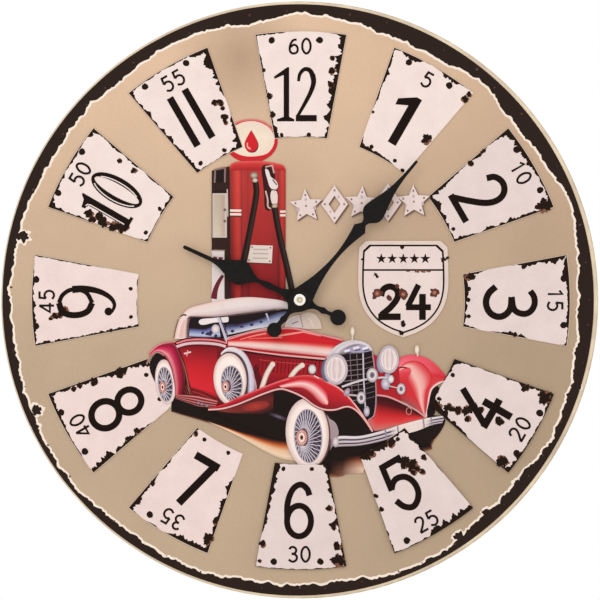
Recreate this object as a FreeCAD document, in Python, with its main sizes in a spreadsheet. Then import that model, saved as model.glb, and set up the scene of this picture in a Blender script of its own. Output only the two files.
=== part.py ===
"""Wall clock with a printed round board, two hands and a quartz movement.

Lengths are millimetres. +Z is up, +X is to the right and the dial faces -Y.
The wall is the plane Y = 0 and the hands turn about the Y axis, so a depth
is a distance from the wall towards whoever reads the clock.
"""

import FreeCAD, Part
import Sketcher
import os
from math import cos, radians, sin
from types import SimpleNamespace
from FreeCAD import Placement, Rotation, Vector

DRIVING_DIMENSIONS = {
    # board and print
    "board_radius": 170.0,
    "board_thickness": 4.0,
    "board_edge_round": 1.0,
    "board_back_bevel": 0.4,
    "board_bore_radius": 4.3,
    "print_radius": 167.65,
    "print_shift": 1.2,
    "print_thickness": 0.2,
    # clamping parts
    "hanger_thickness": 1.0,
    "hanger_half_width": 11.0,
    "hanger_low_end": 13.0,
    "hanger_bend_start": 29.5,
    "hanger_bend_end": 34.5,
    "hanger_set_back": 6.0,
    "hanger_top": 52.0,
    "keyhole_centre": 40.0,
    "keyhole_radius": 4.0,
    "keyhole_slot_radius": 2.0,
    "keyhole_slot_centre": 47.0,
    "rubber_radius": 11.0,
    "rubber_thickness": 1.0,
    "washer_radius": 5.9,
    "washer_thickness": 0.5,
    "nut_across_flats": 10.0,
    "nut_thickness": 2.0,
    "clamp_bore_radius": 4.05,
    "fit_clearance": 0.05,
    "cut_overrun": 1.0,
    "hanger_bend_step": 0.4,
    # movement case
    "case_half": 28.0,
    "case_corner": 4.0,
    "case_depth": 16.5,
    "case_wall": 1.2,
    "case_front_wall": 1.4,
    "cover_wall": 1.3,
    "cover_clearance": 0.1,
    "rim_depth": 3.0,
    "rim_wall": 0.8,
    "divider_height": 10.6,
    "divider_wall": 1.0,
    "divider_half_length": 25.5,
    "divider_depth": 14.9,
    "bay_half_length": 26.4,
    "bay_low": 26.6,
    "bay_high": 11.8,
    "bushing_radius": 4.0,
    "bushing_bore_radius": 2.55,
    "bushing_flange_radius": 6.0,
    "bushing_flange": 1.0,
    "bushing_length": 9.3,
    "plate_depth": 8.2,
    "plate_thickness": 1.0,
    "plate_left": 22.5,
    "plate_right": 17.2,
    "plate_low": 9.8,
    "plate_high": 25.0,
    "post_radius": 1.5,
    "post_left": 20.0,
    "post_right": 15.0,
    "post_low": 7.8,
    "post_high": 23.0,
    # pivots
    "pivot_radius": 0.4,
    "pivot_hole_radius": 0.45,
    "pivot_rear": 0.6,
    "pivot_front": 9.0,
    "pivot_hole_rear": 0.5,
    "boss_radius": 1.2,
    "boss_height": 0.5,
    # wheels of the going train, as depths
    "rotor_leaves_rear": 1.9,
    "rotor_leaves_front": 3.0,
    "fifth_wheel_rear": 2.0,
    "fifth_wheel_front": 2.7,
    "fifth_leaves_front": 3.9,
    "seconds_wheel_rear": 3.0,
    "seconds_wheel_front": 3.8,
    "seconds_leaves_front": 5.5,
    "third_wheel_rear": 4.4,
    "third_wheel_front": 5.2,
    "third_leaves_front": 7.4,
    "centre_wheel_rear": 6.2,
    "centre_wheel_front": 7.0,
    # slipping clutch
    "pipe_flange_radius": 2.6,
    "pipe_flange_rear": 5.75,
    "pipe_flange_front": 6.15,
    "spring_collar_radius": 3.0,
    "spring_rear": 7.5,
    "spring_front": 7.7,
    "spring_arm_start": 2.8,
    "spring_arm_end": 6.6,
    "spring_tip_rear": 7.06,
    "spring_tip_front": 7.24,
    "spring_arm_width": 1.4,
    "spring_arms": 3,
    # motion work, as depths
    "cannon_leaves_rear": 9.8,
    "cannon_leaves_front": 12.0,
    "setting_front": 11.2,
    "minute_arbor_rear": 8.5,
    "minute_arbor_front": 15.7,
    "minute_wheel_rear": 10.0,
    "minute_wheel_front": 10.8,
    "minute_leaves_front": 13.6,
    "hour_wheel_rear": 12.6,
    "hour_wheel_front": 13.4,
    # gear teeth, as multiples of the module
    "addendum": 0.75,
    "dedendum": 1.05,
    "tooth_root_half": 0.78,
    "tooth_tip_half": 0.36,
    "leaf_root_half": 0.5,
    "leaf_tip_half": 0.38,
    # gear pairs
    "rotor_module": 0.25,
    "rotor_leaves": 8,
    "fifth_teeth": 48,
    "fifth_module": 0.26,
    "fifth_leaves": 12,
    "seconds_teeth": 60,
    "seconds_module": 0.27,
    "seconds_leaves": 8,
    "third_teeth": 60,
    "third_module": 0.255,
    "third_leaves": 8,
    "centre_teeth": 64,
    "setting_module": 0.375,
    "cannon_leaves": 12,
    "minute_wheel_teeth": 36,
    "hour_module": 0.36,
    "minute_wheel_leaves": 10,
    "hour_teeth": 40,
    "fifth_direction": 10.0,
    "rotor_direction": 70.0,
    "third_direction": 100.0,
    "minute_wheel_direction": 165.0,
    "knob_direction": 155.0,
    # arbors, pipes and motor
    "seconds_arbor_radius": 0.62,
    "seconds_arbor_end": 30.8,
    "minute_pipe_bore_radius": 0.7,
    "minute_pipe_radius": 1.75,
    "minute_pipe_shoulder": 28.4,
    "minute_pipe_end": 30.6,
    "minute_pipe_flat": 1.45,
    "wheel_bore_radius": 1.8,
    "hour_pipe_radius": 2.5,
    "hour_pipe_end": 27.4,
    "magnet_radius": 2.5,
    "magnet_rear": 3.6,
    "magnet_front": 6.4,
    "sleeve_radius": 0.9,
    "stator_depth": 4.4,
    "stator_thickness": 1.0,
    "stator_hole_radius": 3.0,
    "stator_arm": 3.8,
    "stator_low": 9.4,
    "stator_high": 17.4,
    "stator_overhang": 1.6,
    "stator_peg_radius": 0.9,
    "stator_peg_low": 7.5,
    "stator_peg_high": 15.5,
    "stator_peg_overlap": 0.2,
    "stator_pivot_hole": 1.0,
    "core_thickness": 0.8,
    "core_left": 20.4,
    "core_right": 24.0,
    "winding_radius": 3.3,
    "coil_low": 5.0,
    "coil_length": 18.0,
    "coil_cheek": 1.0,
    "coil_cheek_half": 3.7,
    "coil_tube_wall": 0.6,
    # circuit
    "circuit_peg_height": 1.1,
    "peg_inset_x": 1.8,
    "peg_inset_y": 1.5,
    "circuit_thickness": 1.0,
    "circuit_left": 3.0,
    "circuit_right": 25.8,
    "circuit_low": 18.4,
    "circuit_high": 25.8,
    "crystal_left": 9.0,
    "crystal_height": 22.4,
    "crystal_radius": 1.05,
    "crystal_length": 6.2,
    "crystal_lead_length": 2.4,
    "crystal_lead_radius": 0.17,
    "crystal_lead_half_gap": 0.45,
    "chip_centre": 19.8,
    "chip_height": 22.2,
    "chip_radius": 2.5,
    "chip_thickness": 1.1,
    "chip_round": 0.8,
    # marks sunk into the rear cover
    "mark_sink": 0.35,
    "mark_stroke": 0.7,
    "mark_reach": 1.7,
    "mark_height": 8.6,
    "mark_spread": 21.0,
    "mark_ring_radius": 7.5,
    # setting knob
    "knob_radius": 5.8,
    "knob_rear": 0.4,
    "knob_thickness": 2.8,
    "knob_shaft_radius": 1.2,
    "knob_cup_radius": 6.3,
    "knob_cup_wall": 0.8,
    "knob_cup_depth": 4.4,
    "knob_cup_floor": 1.0,
    "knob_notch_radius": 0.8,
    "knob_notch_reach": 0.2,
    "knob_notches": 16,
    # battery, an AA cell
    "cell_radius": 7.25,
    "cell_sleeve": 0.15,
    "cell_height": 19.2,
    "cell_depth": 7.65,
    "cell_negative_end": 24.5,
    "cell_body_length": 49.4,
    "cell_cap_radius": 2.75,
    "cell_cap_length": 1.1,
    "cell_jacket_start": 0.25,
    # battery contacts
    "strip_thickness": 0.3,
    "strip_rear": 3.4,
    "strip_front": 9.4,
    "strip_inner": 26.3,
    "strip_low": 24.0,
    "positive_top": 21.5,
    "positive_tab_left": 23.6,
    "positive_tab_low": 19.5,
    "dimple_face": 26.05,
    "dimple_radius": 2.0,
    "dimple_depth": 7.0,
    "negative_top": 26.4,
    "rail_end": 6.0,
    "rail_depth": 2.0,
    "foot_left": 4.0,
    "foot_low": 24.4,
    "leaf_rear": 5.0,
    "leaf_depth": 4.2,
    "leaf_top": 12.6,
    "leaf_low": 24.6,
    "leaf_nose_top": 18.6,
    "leaf_nose_low": 19.8,
    "leaf_root_overlap": 0.1,
    "leaf_heel": 0.8,
    # hands
    "hand_thickness": 0.4,
    "hour_hand_depth": 26.2,
    "hour_hand_direction": 294.6,
    "minute_hand_depth": 28.6,
    "minute_hand_direction": 40.2,
    "rivet_radius": 2.9,
    "bush_flange_radius": 3.6,
    "bush_flange": 0.2,
    "collar_radius": 3.3,
    "collar_height": 0.7,
    "rivet_height": 0.2,
    "hand_nut_radius": 3.4,
    "hand_nut_length": 1.8,
    "hand_nut_round": 0.7,
}

doc = FreeCAD.newDocument("wall_clock")
sheet = doc.addObject("Spreadsheet::Sheet", "dims")
for row, (alias, amount) in enumerate(DRIVING_DIMENSIONS.items(), start=1):
    sheet.set(f"A{row}", alias)
    sheet.set(f"B{row}", str(amount))
    sheet.setAlias(f"B{row}", alias)
doc.recompute()


class Size:
    """A number that also knows how the sheet's cells make it."""

    def __init__(self, value, formula):
        self.value = value
        self.formula = formula

    def __add__(self, other):
        other = as_size(other)
        return Size(self.value + other.value, f"({self.formula} + {other.formula})")

    def __sub__(self, other):
        other = as_size(other)
        return Size(self.value - other.value, f"({self.formula} - {other.formula})")

    def __mul__(self, other):
        other = as_size(other)
        return Size(self.value * other.value, f"({self.formula} * {other.formula})")

    def __truediv__(self, other):
        other = as_size(other)
        return Size(self.value / other.value, f"({self.formula} / {other.formula})")

    def __neg__(self):
        return Size(-self.value, f"(0 - {self.formula})")


def as_size(number):
    """Let a plain number stand beside the sheet's sizes."""
    if isinstance(number, Size):
        return number
    return Size(float(number), f"{float(number):.6f}")


dim = SimpleNamespace(**{alias: Size(float(sheet.get(alias)), f"dims.{alias}")
                         for alias in DRIVING_DIMENSIONS})

sub_parts = []


# ---------------------------------------------------------------- sketches

def facing_viewer(x=0.0, z=0.0, turn=0.0):
    """Placement whose own X, Y and Z point right, up and out of the dial."""
    return Placement(Vector(x, 0, z), Rotation(Vector(1, 0, 0), 90) * Rotation(Vector(0, 0, 1), turn))


def new_body(name, placement=None):
    body = doc.addObject("PartDesign::Body", name)
    body.Label = name
    body.Placement = placement or facing_viewer()
    sub_parts.append(body)
    return body


def origin_feature(body, role):
    return next(feature for feature in body.Origin.OriginFeatures if feature.Role == role)


def new_sketch(body, name, height=0, plane="XY_Plane", turn=0.0):
    """Sketch on one of the body's own planes, lifted along the plane's normal."""
    height = as_size(height)
    sketch = body.newObject("Sketcher::SketchObject", f"{body.Name}_{name}")
    sketch.AttachmentSupport = (origin_feature(body, plane), [""])
    sketch.MapMode = "FlatFace"
    sketch.AttachmentOffset = Placement(Vector(0, 0, height.value), Rotation(Vector(0, 0, 1), turn))
    sketch.setExpression("AttachmentOffset.Base.z", height.formula)
    return sketch


def dimension(sketch, kind, references, size):
    """Add one dimension to a sketch and bind it to the sheet."""
    index = sketch.addConstraint(Sketcher.Constraint(kind, *references, size.value))
    sketch.setExpression(f"Constraints[{index}]", size.formula)


def hold_point(sketch, geometry, end, x, y):
    """Fix a point of a sketch at x, y from the sketch's origin."""
    for kind, size, axis in (("DistanceX", as_size(x), -2), ("DistanceY", as_size(y), -1)):
        if size.value == 0:
            sketch.addConstraint(Sketcher.Constraint("PointOnObject", geometry, end, axis))
        else:
            dimension(sketch, kind, (-1, 1, geometry, end), size)


def circle(sketch, radius, x=0, y=0):
    radius = as_size(radius)
    centre = Vector(as_size(x).value, as_size(y).value, 0)
    geometry = sketch.addGeometry(Part.Circle(centre, Vector(0, 0, 1), radius.value))
    dimension(sketch, "Radius", (geometry,), radius)
    hold_point(sketch, geometry, 3, x, y)


def polygon(sketch, corners):
    """Closed outline of straight lines, each corner fixed from the origin."""
    corners = [(as_size(x), as_size(y)) for x, y in corners]
    points = [Vector(x.value, y.value, 0) for x, y in corners]
    lines = [sketch.addGeometry(Part.LineSegment(start, end))
             for start, end in zip(points, points[1:] + points[:1])]
    for line, following in zip(lines, lines[1:] + lines[:1]):
        sketch.addConstraint(Sketcher.Constraint("Coincident", line, 2, following, 1))
    for line, (x, y) in zip(lines, corners):
        hold_point(sketch, line, 1, x, y)


def rectangle(sketch, left, right, low, high):
    polygon(sketch, [(left, low), (right, low), (right, high), (left, high)])


def square(sketch, half):
    rectangle(sketch, -half, half, -half, half)


# ---------------------------------------------------------------- features

def pad(body, sketch, length, both_ways=False):
    length = as_size(length)
    feature = body.newObject("PartDesign::Pad", f"{sketch.Name}_pad")
    feature.Profile = sketch
    feature.Length = length.value
    feature.setExpression("Length", length.formula)
    if both_ways:
        feature.SideType = "Symmetric"
    sketch.Visibility = False
    return feature


def pocket(body, sketch, length):
    """Cut from the sketch back towards the wall."""
    length = as_size(length)
    feature = body.newObject("PartDesign::Pocket", f"{sketch.Name}_cut")
    feature.Profile = sketch
    feature.Length = length.value
    feature.setExpression("Length", length.formula)
    return feature


def repeat_around(body, feature, count):
    """Repeat a feature evenly about the body's own Z axis."""
    count = as_size(count)
    pattern = body.newObject("PartDesign::PolarPattern", f"{feature.Name}_ring")
    pattern.Originals = [feature]
    pattern.Axis = (origin_feature(body, "Z_Axis"), [""])
    pattern.Angle = 360
    pattern.Occurrences = int(count.value)
    pattern.setExpression("Occurrences", count.formula)
    body.Tip = pattern
    return pattern


def disc(body, name, radius, rear, front, x=0, y=0, bore=None):
    """Round slab between two depths, with a hole through it if a bore is given."""
    sketch = new_sketch(body, name, rear)
    circle(sketch, radius, x, y)
    if bore is not None:
        circle(sketch, bore, x, y)
    return pad(body, sketch, as_size(front) - rear)


def ring(name, radius, bore, rear, front):
    """A washer-like sub-part on the axis of the hands."""
    body = new_body(name)
    disc(body, name + "_face", radius, rear, front, bore=bore)
    return body


def edges_at(shape, wanted):
    """Names of the edges whose middle point passes a test."""
    names = []
    for index, edge in enumerate(shape.Edges, start=1):
        middle = edge.valueAt((edge.FirstParameter + edge.LastParameter) / 2)
        if wanted(edge, middle):
            names.append(f"Edge{index}")
    return names


def dress(body, kind, size, wanted):
    """Fillet or Chamfer the edges of the body's last feature that pass a test."""
    doc.recompute()
    base = body.Tip
    feature = body.newObject(f"PartDesign::{kind}", f"{base.Name}_{kind.lower()}")
    feature.Base = (base, edges_at(base.Shape, wanted))
    size_property = "Radius" if kind == "Fillet" else "Size"
    setattr(feature, size_property, size.value)
    feature.setExpression(size_property, size.formula)
    return feature


def round_edge(radius, height):
    """Test for the circular edge of one radius at one height."""
    def wanted(edge, middle):
        on_height = abs(middle.z - height) < 0.001
        return on_height and hasattr(edge.Curve, "Radius") and abs(edge.Curve.Radius - radius) < 0.001
    return wanted


def upright_corner(half):
    """Test for the four outer edges of a square that run through its depth."""
    def wanted(edge, middle):
        return abs(abs(middle.x) - half) < 0.001 and abs(abs(middle.y) - half) < 0.001
    return wanted


def toothed_disc(body, name, teeth, module, rear, front, first_tooth=0.0, bore=None):
    """Spur wheel with straight-sided teeth; first_tooth is the angle of one tooth's middle."""
    small = teeth.value <= 12
    root_half = (dim.leaf_root_half if small else dim.tooth_root_half) * module
    tip_half = (dim.leaf_tip_half if small else dim.tooth_tip_half) * module
    root_radius = teeth * module / 2 - dim.dedendum * module
    tip_radius = teeth * module / 2 + dim.addendum * module
    foot_radius = root_radius - module / 2
    disc(body, name + "_root", root_radius, rear, front, bore=bore)
    sketch = new_sketch(body, name + "_tooth", rear, turn=first_tooth)
    outline = [(foot_radius, -root_half), (root_radius, -root_half), (tip_radius, -tip_half),
               (tip_radius, tip_half), (root_radius, root_half), (foot_radius, root_half)]
    polygon(sketch, outline)
    repeat_around(body, pad(body, sketch, as_size(front) - rear), teeth)


def pitch_distance(teeth, leaves, module):
    """Distance between the arbors of two wheels in mesh."""
    return ((teeth + leaves) * module / 2).value


def stepped(start, distance, direction):
    """Point at a distance from another, seen from the front and anticlockwise from +X."""
    angle = radians(direction)
    return Vector(start.x + distance * cos(angle), start.y + distance * sin(angle), 0)


# ---------------------------------------------------------------- layout of the movement

shaft = Vector(0, 0, 0)
fifth_spot = stepped(shaft, pitch_distance(dim.seconds_teeth, dim.fifth_leaves, dim.fifth_module),
                     dim.fifth_direction.value)
rotor_spot = stepped(fifth_spot, pitch_distance(dim.fifth_teeth, dim.rotor_leaves, dim.rotor_module),
                     dim.rotor_direction.value)
third_spot = stepped(shaft, pitch_distance(dim.third_teeth, dim.seconds_leaves, dim.seconds_module),
                     dim.third_direction.value)
setting_distance = pitch_distance(dim.minute_wheel_teeth, dim.cannon_leaves, dim.setting_module)
minute_wheel_spot = stepped(shaft, setting_distance, dim.minute_wheel_direction.value)
knob_spot = stepped(minute_wheel_spot, setting_distance, dim.knob_direction.value)

case_front = dim.case_depth
inner_front = dim.case_depth - dim.case_front_wall
hanger_front = case_front + dim.hanger_thickness
board_rear = hanger_front + dim.rubber_thickness
board_front = board_rear + dim.board_thickness
print_front = board_front + dim.print_thickness
washer_front = print_front + dim.washer_thickness
plate_front = dim.plate_depth + dim.plate_thickness
stator_front = dim.stator_depth + dim.stator_thickness
core_front = stator_front + dim.core_thickness


def at_arbor(spot):
    return facing_viewer(spot.x, spot.y)


def gap_towards(direction, leaves):
    """Angle of a first leaf that turns the gap beside it towards a direction."""
    return direction + 180.0 / leaves.value


def straight_back(direction):
    return direction + 180.0


# ---------------------------------------------------------------- board, print and clamping parts

def make_board():
    body = new_body("dial_board")
    disc(body, "slab", dim.board_radius, board_rear, board_front, bore=dim.board_bore_radius)
    dress(body, "Fillet", dim.board_edge_round, round_edge(dim.board_radius.value, board_front.value))
    dress(body, "Chamfer", dim.board_back_bevel, round_edge(dim.board_radius.value, board_rear.value))


def make_print():
    """The printed sheet sits a little left of the board's centre."""
    body = new_body("dial_print")
    sketch = new_sketch(body, "sheet", board_front)
    circle(sketch, dim.print_radius, -dim.print_shift, 0)
    circle(sketch, dim.board_bore_radius)
    pad(body, sketch, dim.print_thickness)


def make_hanger():
    """Steel strap, set back above the case, with a keyhole for a screw in the wall."""
    body = new_body("hanger_plate")
    thickness = dim.hanger_thickness
    top_rear = case_front - dim.hanger_set_back
    strap = new_sketch(body, "strap", plane="YZ_Plane")
    polygon(strap, [(-dim.hanger_low_end, case_front), (dim.hanger_bend_start, case_front),
                    (dim.hanger_bend_end, top_rear), (dim.hanger_top, top_rear),
                    (dim.hanger_top, top_rear + thickness),
                    (dim.hanger_bend_end + dim.hanger_bend_step, top_rear + thickness),
                    (dim.hanger_bend_start + dim.hanger_bend_step, case_front + thickness),
                    (-dim.hanger_low_end, case_front + thickness)])
    pad(body, strap, dim.hanger_half_width * 2, both_ways=True)
    through = thickness + dim.cut_overrun * 2
    bore = new_sketch(body, "bore", hanger_front + dim.cut_overrun)
    circle(bore, dim.clamp_bore_radius)
    pocket(body, bore, through)
    above_top = top_rear + thickness + dim.cut_overrun
    keyhole = new_sketch(body, "keyhole", above_top)
    circle(keyhole, dim.keyhole_radius, 0, dim.keyhole_centre)
    pocket(body, keyhole, through)
    slot = new_sketch(body, "slot", above_top)
    slot_half = dim.keyhole_slot_radius
    rectangle(slot, -slot_half, slot_half, dim.keyhole_centre, dim.keyhole_slot_centre)
    pocket(body, slot, through)
    slot_end = new_sketch(body, "slot_end", above_top)
    circle(slot_end, dim.keyhole_slot_radius, 0, dim.keyhole_slot_centre)
    pocket(body, slot_end, through)


def make_nut():
    body = new_body("dial_nut")
    sketch = new_sketch(body, "hexagon", washer_front)
    corner_radius = dim.nut_across_flats / (2 * cos(radians(30)))
    polygon(sketch, [(corner_radius * cos(radians(angle)), corner_radius * sin(radians(angle)))
                     for angle in range(30, 390, 60)])
    circle(sketch, dim.clamp_bore_radius)
    pad(body, sketch, dim.nut_thickness)


# ---------------------------------------------------------------- movement case

def make_front_case():
    body = new_body("front_case")
    walls = new_sketch(body, "walls", dim.cover_wall)
    square(walls, dim.case_half)
    square(walls, dim.case_half - dim.case_wall)
    pad(body, walls, case_front - dim.cover_wall)
    front = new_sketch(body, "front", inner_front)
    square(front, dim.case_half)
    circle(front, dim.bushing_radius)
    pad(body, front, dim.case_front_wall)
    posts = new_sketch(body, "posts", plate_front)
    for x in (-dim.post_left, dim.post_right):
        for y in (-dim.post_low, dim.post_high):
            circle(posts, dim.post_radius, x, y)
    pad(body, posts, inner_front - plate_front)
    disc(body, "boss", dim.boss_radius, inner_front - dim.boss_height, inner_front,
         minute_wheel_spot.x, minute_wheel_spot.y)
    pivot_end = case_front - dim.pivot_hole_rear
    pivot = new_sketch(body, "pivot", pivot_end)
    circle(pivot, dim.pivot_hole_radius, minute_wheel_spot.x, minute_wheel_spot.y)
    pocket(body, pivot, pivot_end - inner_front + dim.boss_height)
    dress(body, "Fillet", dim.case_corner, upright_corner(dim.case_half.value))


def make_bushing():
    """Brass neck of the case: it carries the hour pipe and takes the nut."""
    body = new_body("threaded_bushing")
    flange_rear = inner_front - dim.bushing_flange
    disc(body, "flange", dim.bushing_flange_radius, flange_rear, inner_front, bore=dim.bushing_bore_radius)
    disc(body, "neck", dim.bushing_radius, inner_front, case_front + dim.bushing_length,
         bore=dim.bushing_bore_radius)


def make_rear_cover():
    body = new_body("rear_cover")
    panel = new_sketch(body, "panel")
    square(panel, dim.case_half)
    rectangle(panel, -dim.bay_half_length, dim.bay_half_length, -dim.bay_low, -dim.bay_high)
    circle(panel, dim.knob_cup_radius, knob_spot.x, knob_spot.y)
    pad(body, panel, dim.cover_wall)
    dress(body, "Fillet", dim.case_corner, upright_corner(dim.case_half.value))
    rim_half = dim.case_half - dim.case_wall - dim.cover_clearance
    rim = new_sketch(body, "rim", dim.cover_wall)
    rectangle(rim, -rim_half, rim_half, -dim.divider_height - dim.divider_wall, rim_half)
    inner_half = rim_half - dim.rim_wall
    rectangle(rim, -inner_half, inner_half, -dim.divider_height, inner_half)
    pad(body, rim, dim.rim_depth - dim.cover_wall)
    divider = new_sketch(body, "divider", dim.cover_wall)
    rectangle(divider, -dim.divider_half_length, dim.divider_half_length,
              -dim.divider_height - dim.divider_wall, -dim.divider_height)
    pad(body, divider, dim.divider_depth - dim.cover_wall)
    cup_radius = dim.knob_cup_radius + dim.knob_cup_wall
    disc(body, "cup", cup_radius, 0, dim.knob_cup_depth, knob_spot.x, knob_spot.y, bore=dim.knob_cup_radius)
    disc(body, "cup_floor", cup_radius, dim.knob_cup_depth - dim.knob_cup_floor, dim.knob_cup_depth,
         knob_spot.x, knob_spot.y, bore=dim.knob_shaft_radius + dim.fit_clearance)
    pegs = new_sketch(body, "pegs", dim.cover_wall)
    for x, y in ((dim.circuit_left + dim.peg_inset_x, dim.circuit_high - dim.peg_inset_y),
                 (dim.circuit_right - dim.peg_inset_x, dim.circuit_low + dim.peg_inset_y)):
        circle(pegs, dim.boss_radius, x, y)
    pad(body, pegs, dim.circuit_peg_height)
    spots = (shaft, fifth_spot, rotor_spot, third_spot)
    bosses = new_sketch(body, "bosses", dim.cover_wall)
    for spot in spots:
        circle(bosses, dim.boss_radius, spot.x, spot.y)
    pad(body, bosses, dim.boss_height)
    pivots = new_sketch(body, "pivots", dim.cover_wall + dim.boss_height)
    for spot in spots:
        circle(pivots, dim.pivot_hole_radius, spot.x, spot.y)
    pocket(body, pivots, dim.cover_wall + dim.boss_height - dim.pivot_hole_rear)
    sink_marks(body)


def sink_marks(body):
    """Grooves in the cover's rear face: a ring round the knob, and the sign of each end of the cell."""
    marks = new_sketch(body, "marks", dim.mark_sink)
    circle(marks, dim.mark_ring_radius, knob_spot.x, knob_spot.y)
    circle(marks, dim.mark_ring_radius + dim.mark_stroke, knob_spot.x, knob_spot.y)
    reach = dim.mark_reach
    half = dim.mark_stroke / 2
    rectangle(marks, -dim.mark_spread - reach, -dim.mark_spread + reach,
              -dim.mark_height - half, -dim.mark_height + half)
    plus = [(half, reach), (-half, reach), (-half, half), (-reach, half), (-reach, -half), (-half, -half),
            (-half, -reach), (half, -reach), (half, -half), (reach, -half), (reach, half), (half, half)]
    polygon(marks, [(dim.mark_spread + x, y - dim.mark_height) for x, y in plus])
    pocket(body, marks, dim.mark_sink)


def make_gear_plate():
    """Moulded plate between the going train behind it and the motion work in front."""
    body = new_body("gear_plate")
    face = new_sketch(body, "face", dim.plate_depth)
    rectangle(face, -dim.plate_left, dim.plate_right, -dim.plate_low, dim.plate_high)
    circle(face, dim.minute_pipe_radius + dim.fit_clearance)
    circle(face, dim.knob_shaft_radius + dim.fit_clearance, knob_spot.x, knob_spot.y)
    for spot in (fifth_spot, rotor_spot, third_spot, minute_wheel_spot):
        circle(face, dim.pivot_hole_radius, spot.x, spot.y)
    pad(body, face, dim.plate_thickness)
    peg_rear = dim.stator_depth - dim.stator_peg_overlap
    pegs = new_sketch(body, "pegs", peg_rear)
    for height in (-dim.stator_peg_low, dim.stator_peg_high):
        circle(pegs, dim.stator_peg_radius, rotor_spot.x, height)
    pad(body, pegs, dim.plate_depth - peg_rear)


# ---------------------------------------------------------------- motor and electronics

def make_stator():
    """A C-shaped lamination round the rotor, with the coil's core across its open side."""
    body = new_body("stator_plate")
    sketch = new_sketch(body, "lamination", dim.stator_depth)
    low = -dim.stator_low
    high = dim.stator_high
    arm = dim.stator_arm
    left = as_size(rotor_spot.x) - arm
    spine = as_size(rotor_spot.x) + arm
    tips = dim.core_right + dim.stator_overhang
    polygon(sketch, [(left, low), (tips, low), (tips, low + arm), (spine, low + arm),
                     (spine, high - arm), (tips, high - arm), (tips, high), (left, high)])
    circle(sketch, dim.stator_hole_radius, rotor_spot.x, rotor_spot.y)
    circle(sketch, dim.stator_pivot_hole, fifth_spot.x, fifth_spot.y)
    for height in (-dim.stator_peg_low, dim.stator_peg_high):
        circle(sketch, dim.stator_peg_radius, rotor_spot.x, height)
    pad(body, sketch, dim.stator_thickness)
    core = new_body("coil_core")
    bar = new_sketch(core, "bar", stator_front)
    rectangle(bar, dim.core_left, dim.core_right, low, high)
    pad(core, bar, dim.core_thickness)


def make_coil():
    """The coil stands upright on the core, between the arms of the stator."""
    length = dim.coil_length
    cheek = dim.coil_cheek
    cheek_half = dim.coil_cheek_half
    tube_wall = dim.coil_tube_wall
    middle = Vector((dim.core_left + dim.core_right).value / 2, -(stator_front + core_front).value / 2,
                    -dim.coil_low.value)
    core_half_width = (dim.core_right - dim.core_left) / 2 + dim.fit_clearance
    core_half_depth = dim.core_thickness / 2 + dim.fit_clearance
    bobbin = new_body("coil_bobbin", Placement(middle, Rotation()))
    for name, rear, front, half_width, half_depth in (
            ("tube", as_size(0), length, core_half_width + tube_wall, core_half_depth + tube_wall),
            ("low_cheek", as_size(0), cheek, cheek_half, cheek_half),
            ("high_cheek", length - cheek, length, cheek_half, cheek_half)):
        sketch = new_sketch(bobbin, name, rear)
        rectangle(sketch, -half_width, half_width, -half_depth, half_depth)
        rectangle(sketch, -core_half_width, core_half_width, -core_half_depth, core_half_depth)
        pad(bobbin, sketch, front - rear)
    winding = new_body("coil_winding", Placement(middle, Rotation()))
    section = new_sketch(winding, "section", cheek)
    circle(section, dim.winding_radius)
    rectangle(section, -core_half_width - tube_wall, core_half_width + tube_wall,
              -core_half_depth - tube_wall, core_half_depth + tube_wall)
    pad(winding, section, length - cheek * 2)


def make_circuit():
    """Circuit board on its pegs, with the crystal and the chip on its front."""
    circuit_rear = dim.cover_wall + dim.circuit_peg_height
    circuit_front = circuit_rear + dim.circuit_thickness
    board = new_body("circuit_board")
    outline = new_sketch(board, "outline", circuit_rear)
    rectangle(outline, dim.circuit_left, dim.circuit_right, dim.circuit_low, dim.circuit_high)
    pad(board, outline, dim.circuit_thickness)
    crystal = new_body("quartz_crystal", facing_viewer(dim.crystal_left.value, dim.crystal_height.value))
    axis_depth = circuit_front + dim.crystal_radius
    can = new_sketch(crystal, "can", plane="YZ_Plane")
    circle(can, dim.crystal_radius, 0, axis_depth)
    pad(crystal, can, dim.crystal_length)
    leads = new_sketch(crystal, "leads", -dim.crystal_lead_length, plane="YZ_Plane")
    for y in (-dim.crystal_lead_half_gap, dim.crystal_lead_half_gap):
        circle(leads, dim.crystal_lead_radius, y, axis_depth)
    pad(crystal, leads, dim.crystal_lead_length)
    chip = new_body("timing_chip", facing_viewer(dim.chip_centre.value, dim.chip_height.value))
    chip_front = circuit_front + dim.chip_thickness
    disc(chip, "blob", dim.chip_radius, circuit_front, chip_front)
    dress(chip, "Fillet", dim.chip_round, round_edge(dim.chip_radius.value, chip_front.value))


def make_rotor():
    """Magnet on a moulded sleeve with an eight-leaf pinion, inside the stator's hole."""
    body = new_body("rotor_pinion", at_arbor(rotor_spot))
    disc(body, "arbor", dim.pivot_radius, dim.pivot_rear, dim.pivot_front)
    disc(body, "sleeve", dim.sleeve_radius, dim.rotor_leaves_front, dim.magnet_front)
    toothed_disc(body, "leaves", dim.rotor_leaves, dim.rotor_module,
                 dim.rotor_leaves_rear, dim.rotor_leaves_front,
                 gap_towards(straight_back(dim.rotor_direction.value), dim.rotor_leaves))
    magnet = new_body("rotor_magnet", at_arbor(rotor_spot))
    disc(magnet, "magnet", dim.magnet_radius, dim.magnet_rear, dim.magnet_front, bore=dim.sleeve_radius)


# ---------------------------------------------------------------- wheels

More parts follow.
